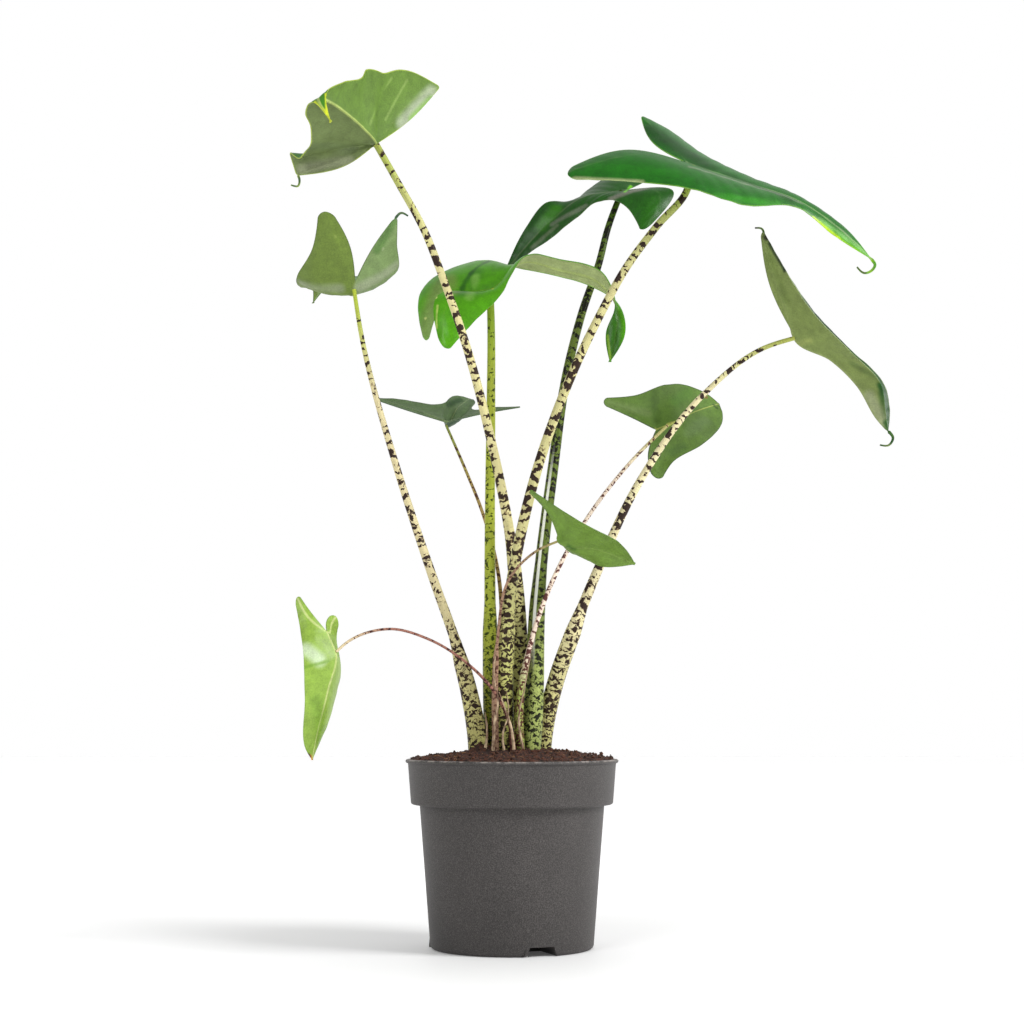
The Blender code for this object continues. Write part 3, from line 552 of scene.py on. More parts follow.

# %% [markdown]
# The landmarks are places on the real plant, read as pixels across, pixels down, and millimetres
# behind the pot's axis. The first two can be seen. The third is judged from which leaf hides which,
# and from how wide a blade of this kind must be where it is seen at a slant.

# %% The ten leaves
LEAVES = {
    1: Leaf(
        Stalk((4.5, 16.5), [(520, 680, 14.5), (514, 565, 3), (490, 436, -19), (469, 355, -33),
                          (444, 281, -44), (424, 230, -51), (396.5, 180, -58)],
              (17, 10.5, 8.4, 5.2), 0.35),
        midrib=[(376, 144, -62), (362, 127, -82), (347, 114, -100), (333, 104, -117), (319, 98, -132),
                (331, 122, -144)],
        left=Half((298, 175, -54), (347, 165, -60), (290, 153, -60),
                  [(300, 158, -72), (309, 146, -88), (311, 128, -104), (305, 112, -118), (311, 103, -129)],
                  blunt=1.5,
                  hook=[(299.5, 180, -54), (298, 186, -55), (291, 185, -55)]),
        right=Half((439, 87, -38), (409, 121, -46), (400, 69.5, -66),
                   [(384, 73, -79), (370, 69, -90), (358, 79, -102), (343, 82, -114), (328, 91, -128)],
                   blunt=1.2),
        faces_us=False, wave=1.4, waves=5),
    2: Leaf(
        Stalk((-26.5, 0), [(470, 693, 0), (458.5, 651, 0), (432, 575, -2), (396, 465, -5), (361, 333, -9)],
              (18.5, 13, 8.4, 3.2), 0.23),
        midrib=[(354, 289, -10), (343, 277, 36), (323, 282, 70), (313, 303, 84)],
        left=Half((325, 212, -32), (350, 246, -26), (313, 247, -24),
                  [(297, 276, -4), (301, 286, 34), (313, 290, 72)], blunt=5.5),
        right=Half((395, 219, -30), (371, 250, -22), (397, 243, -18),
                   [(399, 266, 0), (368, 276, 42), (329, 285, 74)], hook=[(401, 213, -31), (408, 216, -32)]),
        faces_us=False, cup=-0.09, wave=1.2, web=7),
    3: Leaf(
        Stalk((-16, 14), [(491, 700, 14), (490, 600, 12), (490, 500, 10), (491, 400, 6), (491, 320, 5)],
              (14, 12, 9.5, 6), 0.30),
        midrib=[(490, 290, 2), (523, 262, 6), (560, 270, 12), (598, 282, 4), (616, 305, 0), (616, 334, -4),
                (610, 362, -4)],
        left=Half((444, 347, -22), (440, 294, -6), (474, 322, -16),
                  [(497, 299, -12), (529, 255, -6), (558, 259, 4), (603, 273, -3), (615, 305, -4),
                   (606, 334, -2)], blunt=5.0),
        right=Half((426, 340, 34), (446, 300, 22), (421, 292, 38),
                   [(484, 260, 32), (521, 269, 16), (556, 276, 18), (592, 287, 10), (618, 304, 4),
                    (625, 334, -6)], blunt=3.0),
        faces_us=True, cup=0.12, wave=0.6, web=14),
    4: Leaf(
        Stalk((15, -3.5), [(533, 716, -3.5), (538, 598, 3), (553, 468, 15), (568, 368, 24), (582, 313, 30),
                           (599, 263, 36), (608, 228, 41)],
              (17.5, 12.2, 10.6, 5), 0.30),
        midrib=[(622, 191, 47), (584, 197, 45), (548, 224, 47), (524, 249, 53), (504, 274, 60)],
        left=Half((644.5, 229, 28), (673, 191, 40), (628, 209, 30),
                  [(605, 199, 36), (584, 211, 36), (557, 234, 40), (531, 252, 50)], blunt=4.0),
        right=Half((665, 160, 92), (650, 178, 72), (640, 158, 92),
                   [(608, 174, 72), (574, 200, 58), (545, 204, 53), (523, 233, 54)]),
        faces_us=True, cup=0.06, wave=1.2, waves=5),
    5: Leaf(
        Stalk((-7, -3), [(503, 690, -8), (508, 611, -18), (529, 499, -29), (576, 365, -41), (600, 315, -46),
                         (626, 268, -52), (657, 226, -57), (687, 190, -61)],
              (19, 14.5, 9.5, 5.5), 0.25),
        midrib=[(692, 165, -62), (746, 183, -62), (800, 202, -60), (838, 228, -57), (871, 259, -55)],
        left=Half((568, 174.5, -84), (628, 150, -66), (636, 182, -94),
                  [(690, 188, -102), (745, 206, -94), (801, 209, -68), (836, 237, -60)], blunt=7.0),
        right=Half((642, 117, -20), (653, 143, -44), (672, 132, -16),
                   [(706, 156, -22), (748, 179, -30), (802, 198, -45), (843, 226, -50)]),
        faces_us=True, cup=0.10, wave=0.8,
        tail=[(875, 265, -55), (871, 271, -55), (864, 273, -56), (857, 267, -56)]),
    6: Leaf(
        Stalk((24.5, 12), [(556.5, 677, 10), (568.5, 643, 6), (597, 572, 1), (640, 481, -5), (705, 393, -12),
                         (764, 348, -18)],
              (15.4, 14.2, 9, 3.6), 0.33),
        midrib=[(795, 338, -20), (832, 360, -22), (858, 386, -24), (877.5, 419, -24), (888, 431, -22)],
        left=Half((762, 233, -40), (769, 283, -34), (782, 264, -48),
                  [(813, 312, -46), (852, 354, -42), (882, 386, -34), (885, 408, -30)]),
        right=Half((764, 236, 0), (777, 290, -6), (782, 266, 8),
                   [(810, 306, 8), (849, 348, 2), (885, 388, -8), (890, 412, -16)],
                   hook=[(762, 229, 0), (755, 228, -1)]),
        faces_us=False, cup=0.05, wave=0.8,
        tail=[(893, 438, -22), (889, 445, -22), (880, 445, -23)]),
    7: Leaf(
        Stalk((6, -13.5), [(519, 712, -13.5), (531.5, 640, -12.5), (549.5, 588, -6), (584, 523, 6),
                           (628, 465, 18)],
              (9, 5.2, 4.2, 2.6), 0.30),
        midrib=[(668, 425, 33), (692, 413, 64), (719, 404, 96)],
        left=Half((604, 401.5, 28), (632, 418, 34), (634, 395.5, 34), [(664, 385, 50), (704, 392, 80)],
                  blunt=3.2),
        right=Half((657, 478, 24), (648, 455, 30), (672, 463, 36), [(703, 444, 54), (723, 417, 84)],
                   blunt=4.5),
        faces_us=False, cup=0.04, wave=0.8, web=11),
    8: Leaf(
        Stalk((-8, 25), [(502, 680, 26), (497, 566, 32), (482, 511, 41), (466, 471, 47)],
              (8, 5, 3.8, 2.2), 0.30),
        midrib=[(446, 425, 55), (457, 409, 86), (470, 399, 116)],
        left=Half((376, 399, 46), (406, 410, 44), (404, 400, 60), [(441, 404, 80), (456, 395.5, 104)]),
        right=Half((520, 407, 58), (482, 414, 52), (488, 408, 68), [(472, 409, 88), (475, 401, 106)],
                   blunt=1.2),
        faces_us=False, cup=0.05, wave=0.6, web=2.5),
    9: Leaf(
        Stalk((-13, -17), [(495, 694, -19), (498, 635, -23), (508, 581.5, -31), (535, 552, -48)],
              (5.6, 4.6, 2.6, 1.9), 0.50),
        midrib=[(559, 541, -60), (598, 549, -60), (635, 564, -50)],
        left=Half((530, 491, -66), (549, 515, -64), (552, 504, -74), [(586, 525, -84), (618, 542, -74)]),
        right=Half((573, 553, -18), (564, 546, -38), (578, 555, -26), [(584, 557, -36), (600, 566, -48)],
                   blunt=3.0),
        faces_us=False, cup=0.04),
    10: Leaf(
        Stalk((1, -20.5), [(508, 719, -23), (495, 693, -27), (463, 660, -33), (429, 639.4, -38),
                           (390.6, 629, -43), (349, 641, -48)],
              (6, 4.4, 3, 2.1), 0.25),
        midrib=[(336, 652, -50), (328, 690, -55), (316, 738, -49), (312, 760, -44)],
        left=Half((297, 598, -42), (310, 611, -46), (300, 627, -50),
                  [(303, 652, -62), (305, 696, -64), (306, 750, -50)], blunt=3.0),
        right=Half((336, 617, -36), (327, 620, -42), (337, 632, -34),
                   [(340, 670, -28), (334, 704, -34), (317, 748, -42)], blunt=4.5),
        faces_us=True, cup=0.05, wave=0.5, web=18),
}
print("leaves:", len(LEAVES))

# %% [markdown]
# ## From landmarks to a blade
#
# A leaf's edges and ribs are smooth curves. Blender has curve objects, but here the points of the
# curves are needed at once, to span the blade between them. So one short function gives the points
# on a curve that passes through every landmark and stays close to the straight line between two.

# %% Curves
def smooth_curve(points, places):
    """Points on a smooth curve through the given ones, at places counted in control points."""
    points = np.asarray(points, float)
    spans = np.linalg.norm(np.diff(points, axis=0), axis=1)[:, None]
    slopes = np.diff(points, axis=0) / spans
    tangents = np.empty_like(points)
    tangents[1:-1] = (slopes[1:] * spans[:-1] + slopes[:-1] * spans[1:]) / (spans[1:] + spans[:-1])
    tangents[0] = 1.5 * slopes[0] - 0.5 * tangents[1]
    tangents[-1] = 1.5 * slopes[-1] - 0.5 * tangents[-2]
    result = []
    for place in places:
        i = min(int(place), len(points) - 2)
        t, h = place - i, spans[i]
        result.append((1 + 2 * t) * (1 - t) ** 2 * points[i] + t * (1 - t) ** 2 * h * tangents[i]
                      + t * t * (3 - 2 * t) * points[i + 1] - t * t * (1 - t) * h * tangents[i + 1])
    return np.array(result)


def thin_rows(points, start, across, widths):
    """A ribbon that runs on from a blade's end: its middle line and its half-width vectors."""
    places = np.linspace(0, len(points), 6 * len(points) + 1)
    line = smooth_curve([start] + [seen(p) for p in points], places[1:])
    tangents = np.gradient(np.vstack([start, line]), axis=0)[1:]
    vectors = []
    for point, tangent, width in zip(line, tangents, np.linspace(*widths, len(line))):
        sideways = unit(np.cross(tangent, EYE - point))
        across = sideways if sideways @ across > 0 else -sideways
        vectors.append(width * across)
    return line, np.array(vectors)


bend = smooth_curve([(0, 0), (10, 0), (10, 10)], np.linspace(0, 2, 50))
print("a curve round a corner:", round(float(np.linalg.norm(np.diff(bend, axis=0), axis=1).sum()), 1), "mm")

# %% [markdown]
# Half a blade is filled with rows that run from the midrib to the margin. Behind the joint there is no
# midrib, so there a row runs from the lobe's inner side to its outer side. Rows are better than one
# large face here: they carry the veins, and a row's own length says how wide the blade is there.

# %% Rows across half a blade
ROWS_PER_STATION = 14
COLUMNS = 18
TIP_HALF_WIDTH = 1.2
REAR_SPACING = 1.6
WEB_SHARE = 0.12
RIPPLE = 0.55
REAR_RIB_PLACE = 0.40


def half_rows(leaf, half, other):
    """Rows across one half of a blade, from its rear lobe's tip to the apex: their ends, normals and the
    joint's row.
    """
    midrib = [seen(p) for p in leaf.midrib]
    tip, inner, flank = seen(half.tip), seen(half.inner), seen(half.flank)
    lobe_across = unit(flank - inner)
    margin = [tip + half.blunt * lobe_across, flank] + [seen(p) for p in half.edge] + [midrib[-1]]
    joint_row = 2 * ROWS_PER_STATION + 1
    rear = 2 * np.linspace(0, 1, joint_row + 1) ** REAR_SPACING
    backward = unit(unit(inner - midrib[0]) + unit(seen(other.inner) - midrib[0]))
    notch = midrib[0] + leaf.web * backward
    front = np.linspace(0, len(midrib) - 1, (len(midrib) - 1) * ROWS_PER_STATION + 1)
    beside = 2 + np.concatenate([[0], np.interp(front, [0, 1, 99], [WEB_SHARE, 1, 99])])
    spine = np.vstack([smooth_curve([tip - half.blunt * lobe_across, inner, notch], rear)[:-1],
                       smooth_curve([notch] + midrib, np.concatenate([[0], 1 + front]))])
    outer = smooth_curve(margin, np.concatenate([rear[:-1], beside]))
    cap = half.blunt / np.linalg.norm(inner - tip)
    for i, place in enumerate(rear[:-1]):
        middle, reach = 0.5 * (spine[i] + outer[i]), 0.5 * (outer[i] - spine[i])
        roundness = math.sqrt(1 - (1 - min(place / cap, 1.0)) ** 2)
        reach = unit(reach) * max(np.linalg.norm(reach) * roundness, 0.5 * TIP_HALF_WIDTH)
        spine[i], outer[i] = middle - reach, middle + reach
    own, opposite = seen(half.edge[-1]) - midrib[-2], seen(other.edge[-1]) - midrib[-2]
    apex_across = unit(unit(own) - unit(opposite))
    outer[-1] = spine[-1] + TIP_HALF_WIDTH * apex_across
    if half.hook:
        line, vectors = thin_rows(half.hook, tip, lobe_across, (1.0, 0.6))
        spine = np.vstack([(line - vectors)[::-1], spine])
        outer = np.vstack([(line + vectors)[::-1], outer])
        joint_row += len(line)
    if leaf.tail:
        line, vectors = thin_rows(leaf.tail, midrib[-1], apex_across, (TIP_HALF_WIDTH, 0.5 * TIP_HALF_WIDTH))
        spine, outer = np.vstack([spine, line]), np.vstack([outer, line + vectors])
    along = np.gradient(0.5 * (spine + outer), axis=0)
    normals = np.array([unit(np.cross(a, o - s)) for a, o, s in zip(along, outer, spine)])
    if (normals[joint_row] @ unit(EYE - midrib[0]) > 0) != leaf.faces_us:
        normals = -normals
    return spine, outer, normals, joint_row


print("rows across half of leaf 5:", len(half_rows(LEAVES[5], LEAVES[5].left, LEAVES[5].right)[0]))

# %% [markdown]
# The rows bulge a little and ripple towards the margin. While they are made, every point learns some
# numbers: how far it is from the nearest rib and from the margin, and where it lies among the veins.
#
# Side veins leave a rib at an angle and bend towards the apex. In the rear lobe a second rib runs from
# the joint to the lobe's tip and has its own fan. The number `vein` counts the veins passed on the way
# along a rib, so that a vein lies wherever it is a whole number.

# %% Points of half a blade
VEIN_SPACING = 11.0
LEAST_VEIN_SPACING = 5.0
LARGE_LEAF = 120.0
VEIN_SLANT = 0.75


def half_points(leaf, half, other, seed):
    """The points of half a blade, row by row, and a table of numbers for each."""
    spine, outer, normals, joint_row = half_rows(leaf, half, other)
    run = np.concatenate([[0], np.cumsum(np.linalg.norm(np.diff(0.5 * (spine + outer), axis=0), axis=1))])
    length = run[-1] - run[joint_row]
    spacing = max(VEIN_SPACING * length / LARGE_LEAF, LEAST_VEIN_SPACING)
    share = np.linspace(0, 1, COLUMNS + 1)
    points, fields = [], {"rib": [], "margin": [], "vein": [], "taper": [], "front": []}
    for i in range(len(spine)):
        width = np.linalg.norm(outer[i] - spine[i])
        place = i / (len(spine) - 1)
        swing = leaf.wave * math.sin(math.pi * place) * math.sin(2 * math.pi * leaf.waves * place)
        swing *= min(width / 20.0, 1.0)
        ripple = RIPPLE * noise.noise(Vector((run[i] * 0.11, seed, 0.0))) * min(width / 12.0, 1.0)
        lift = leaf.cup * width * 4 * share * (1 - share) + swing * share ** 2 + ripple * share ** 3
        points.append(spine[i] + (outer[i] - spine[i]) * share[:, None] + normals[i] * lift[:, None])
        behind = max(run[joint_row] - run[i], 0.0)
        rib_share = REAR_RIB_PLACE * (1 - (1 - behind / run[joint_row]) ** 2)
        from_rib = np.abs(share - rib_share) * width
        fields["rib"].append(from_rib)
        fields["margin"].append((1 - share) * width if i >= joint_row
                                else np.minimum(share, 1 - share) * width)
        fields["vein"].append((abs(run[i] - run[joint_row]) - VEIN_SLANT * from_rib) / spacing)
        reach = behind / run[joint_row] if behind else (run[i] - run[joint_row]) / length
        fields["taper"].append(np.full(COLUMNS + 1, 1 - reach))
        fields["front"].append(np.full(COLUMNS + 1, 0.0 if i < joint_row else 1.0))
    return np.array(points), {key: np.array(rows) for key, rows in fields.items()}, joint_row


print("side veins are", VEIN_SPACING, "mm apart where the midrib is", LARGE_LEAF, "mm long")

# %% [markdown]
# The two halves share the points of the midrib, so that the blade is one sheet there and parts only
# behind the joint, where the lobes are free of each other.

# %% A whole blade
def blade_sheet(leaf, number):
    """One sheet of quads for the whole blade, its halves joined along the midrib."""
    vertices, quads, shared = [], [], {}
    fields = {"rib": [], "margin": [], "vein": [], "taper": [], "front": [], "side": []}
    for side, (half, other) in enumerate(((leaf.left, leaf.right), (leaf.right, leaf.left))):
        rows, values, joint_row = half_points(leaf, half, other, 10 * number + side)
        index = np.zeros(rows.shape[:2], int)
        for row in range(len(rows)):
            for column in range(COLUMNS + 1):
                if column == 0 and row >= joint_row and side == 1:
                    index[row, 0] = shared[row - joint_row]
                    fields["side"][shared[row - joint_row]] = 0.5
                    continue
                index[row, column] = len(vertices)
                vertices.append(rows[row, column])
                for key in values:
                    fields[key].append(values[key][row, column])
                fields["side"].append(side)
                if column == 0 and row >= joint_row:
                    shared[row - joint_row] = index[row, 0]
        for row in range(len(rows) - 1):
            for column in range(COLUMNS):
                quad = (index[row, column], index[row, column + 1],
                        index[row + 1, column + 1], index[row + 1, column])
                quads.append(quad if side == 0 else quad[::-1])
    return np.array(vertices), np.array(quads), {key: np.array(v) for key, v in fields.items()}


def sheet_normals(vertices, quads):
    """Unit normals at the points of a sheet."""
    normals = np.zeros_like(vertices)
    a, b, c, d = (vertices[quads[:, corner_number]] for corner_number in range(4))
    crossed = np.cross(c - a, d - b)
    for corner_number in range(4):
        np.add.at(normals, quads[:, corner_number], crossed)
    return normals / np.maximum(np.linalg.norm(normals, axis=1, keepdims=True), 1e-9)


print("leaf 5:", len(blade_sheet(LEAVES[5], 5)[1]), "quads in one sheet")

# %% [markdown]
# A leaf has thickness. Both faces are copies of the sheet, moved apart along its normals, and a narrow
# wall closes the edge. A Solidify modifier could do that, but not the next part: the ribs stand out
# below, and the side veins press the whole sheet down a little, which gives the quilted look of an
# arum's leaf.

# %% Thickness, ribs and quilting
HALF_THICKNESS = 0.35
RIB_RISE = 1.3
RIB_WIDTH = 1.5
VEIN_DEPTH = 0.32
VEIN_WIDTH = 0.16
VEIN_END = 3.0
VEIN_START = 2.0
RIB_END = 2.5


def thick_blade(leaf, number):
    """Vertices, faces and fields of a blade with two faces and an edge."""
    sheet, quads, fields = blade_sheet(leaf, number)
    normals = sheet_normals(sheet, quads)
    left_quads = quads[:len(quads) // 2]
    facing = np.einsum("ij,ij->", normals[left_quads[:, 0]], EYE - sheet[left_quads[:, 0]])
    if (facing > 0) != leaf.faces_us:
        quads, normals = quads[:, ::-1], -normals
    away = np.abs(fields["vein"] - np.round(fields["vein"]))
    inside = np.clip(fields["margin"] / VEIN_END, 0, 1) * np.clip(fields["rib"] / VEIN_START, 0, 1)
    press = VEIN_DEPTH * np.exp(-(away / VEIN_WIDTH) ** 2) * inside
    rib = RIB_RISE * np.exp(-(fields["rib"] / RIB_WIDTH) ** 2) * (0.25 + 0.75 * fields["taper"])
    rib *= np.clip(fields["margin"] / RIB_END, 0, 1)
    count = len(sheet)
    upper = sheet + normals * (HALF_THICKNESS - press)[:, None]
    lower = sheet - normals * (HALF_THICKNESS + press + rib)[:, None]
    faces = [tuple(quad) for quad in quads.tolist()]
    faces += [tuple(corner_number + count for corner_number in quad[::-1]) for quad in quads.tolist()]
    directed = {(quad[i], quad[(i + 1) % 4]) for quad in quads.tolist() for i in range(4)}
    for a, b in directed:
        if (b, a) not in directed:
            faces.append((b, a, a + count, b + count))
    doubled = {key: np.concatenate([values, values]) for key, values in fields.items()}
    doubled["upper"] = np.concatenate([np.ones(count), np.zeros(count)])
    return np.vstack([upper, lower]), faces, doubled


print("blades are", 2 * HALF_THICKNESS, "mm thick, and by the joint", 2 * HALF_THICKNESS + RIB_RISE)

# %% [markdown]
# ## Leaf colours
#
# Seen from below, most blades show their dull, greyish underside, and the upper faces are deep green
# and glossy. A picture of a leaf would be quick, but it would hold the light of its own day. One
# recipe makes all ten finishes instead, from a short palette: upper face, underside, ribs, margin, and
# a few soft strokes where the age of the leaf changes its colour, or where sheen, highlights and shade
# are painted on.

# %% The recipe for a leaf's finish
@dataclass
class Palette:
    """The colours of a leaf, and soft strokes painted on it.

    A stroke runs between two places in the picture, and has a radius in millimetres, a colour and a
    strength.
    """
    upper: tuple
    under: tuple
    left: tuple = None
    rib: tuple = (176, 190, 112)
    margin: tuple = (110, 130, 60)
    vein: float = 0.25
    ribs: float = 0.8
    lobe_ribs: float = 0.25
    gloss: float = 0.36
    strokes: tuple = ()


def in_picture(points):
    """Where points appear in the picture, in pixels, and how far away they are."""
    forward, rise = points[:, 1] + EYE_DISTANCE, points[:, 2] - EYE_HEIGHT
    away = forward * math.cos(EYE_TILT) + rise * math.sin(EYE_TILT)
    up = rise * math.cos(EYE_TILT) - forward * math.sin(EYE_TILT)
    scale = PIXELS_PER_UNIT_SLOPE / away
    return PICTURE_MIDDLE + points[:, 0] * scale, PICTURE_MIDDLE - up * scale, away


HIT_RADIUS = 2.5
FAR_AWAY = 1e5


def on_blade(points, place):
    """The blade's point that is seen at a place in the picture.

    It is the nearest to the eye of those within a few pixels, or else the one that misses least.
    """
    across, down, away = in_picture(points)
    miss = np.hypot(across - place[0], down - place[1])
    return points[np.argmin(np.where(miss < HIT_RADIUS, away - FAR_AWAY, miss))]


BROAD_PATCHES, PATCHES, FINE_GRAIN, LEAF_CELLS = 34.0, 130.0, 900.0, 360.0


def leaf_finish(number, palette, points):
    """A leaf's material, from its palette. The points are the blade's, on which the strokes are placed."""
    finish = Finish(f"leaf_{number}", palette.gloss)
    finish.set("Specular IOR Level", 0.3)
    where = finish.place()
    upper, side = finish.field("upper"), finish.field("side")
    rib, margin, vein = finish.field("rib"), finish.field("margin"), finish.field("vein")
    above = finish.step(upper, 0.35, 0.65)
    under = rgb(*palette.under)
    if palette.left:
        under = finish.mix(rgb(*palette.left), under, finish.step(side, 0.3, 0.7))
    colour = finish.mix(under, rgb(*palette.upper), above)
    away = (vein - finish.node("Math", {"operation": 'ROUND'}, {0: vein})).math("ABSOLUTE")
    line = (1 - finish.step(away, 0.02, 0.10)) * finish.step(margin, 1.0, 6.0)
    colour = finish.mix(colour, rgb(*palette.rib), line * palette.vein)
    ridge = (1 - finish.step(rib, 0.5, 1.5)) * finish.step(margin, 0.3, 2.0)
    front = finish.step(finish.field("front"), 0.2, 0.8)
    ridge = ridge * (palette.lobe_ribs + front * (palette.ribs - palette.lobe_ribs))
    colour = finish.mix(colour, rgb(*palette.rib), ridge)
    edge = 1 - finish.step(margin, 0.25, 0.9)
    colour = finish.mix(colour, rgb(*palette.margin), edge * 0.7)
    # the strokes hold the leaf's own marks, and also painted sheen, painted highlights and painted shade
    for start, end, radius, paint, strength in palette.strokes:
        mask = finish.stroke(on_blade(points, start), on_blade(points, end), radius)
        colour = finish.mix(colour, rgb(*paint), mask * strength)
    broad = finish.grain(where, BROAD_PATCHES, 3.0, 0.6)
    patchy = finish.grain(where, PATCHES, 3.0, 0.6)
    fine = finish.grain(where, FINE_GRAIN, 2.0, 0.6)
    finish.set("Base Color", finish.tint(colour, 0.15 + broad * 0.3 + patchy * 0.7 + fine * 0.7))
    cells = finish.node("TexVoronoi", {"feature": 'DISTANCE_TO_EDGE'}, {"Vector": where, "Scale": LEAF_CELLS})
    net = finish.step(cells, 0.0, 0.12)
    finish.set("Roughness", palette.gloss + (1 - above) * 0.14 + fine * 0.12)
    finish.bump(net * 0.4 + fine * 0.6, 0.10, 0.5)
    return finish


print("a palette holds:", ", ".join(Palette.__dataclass_fields__))
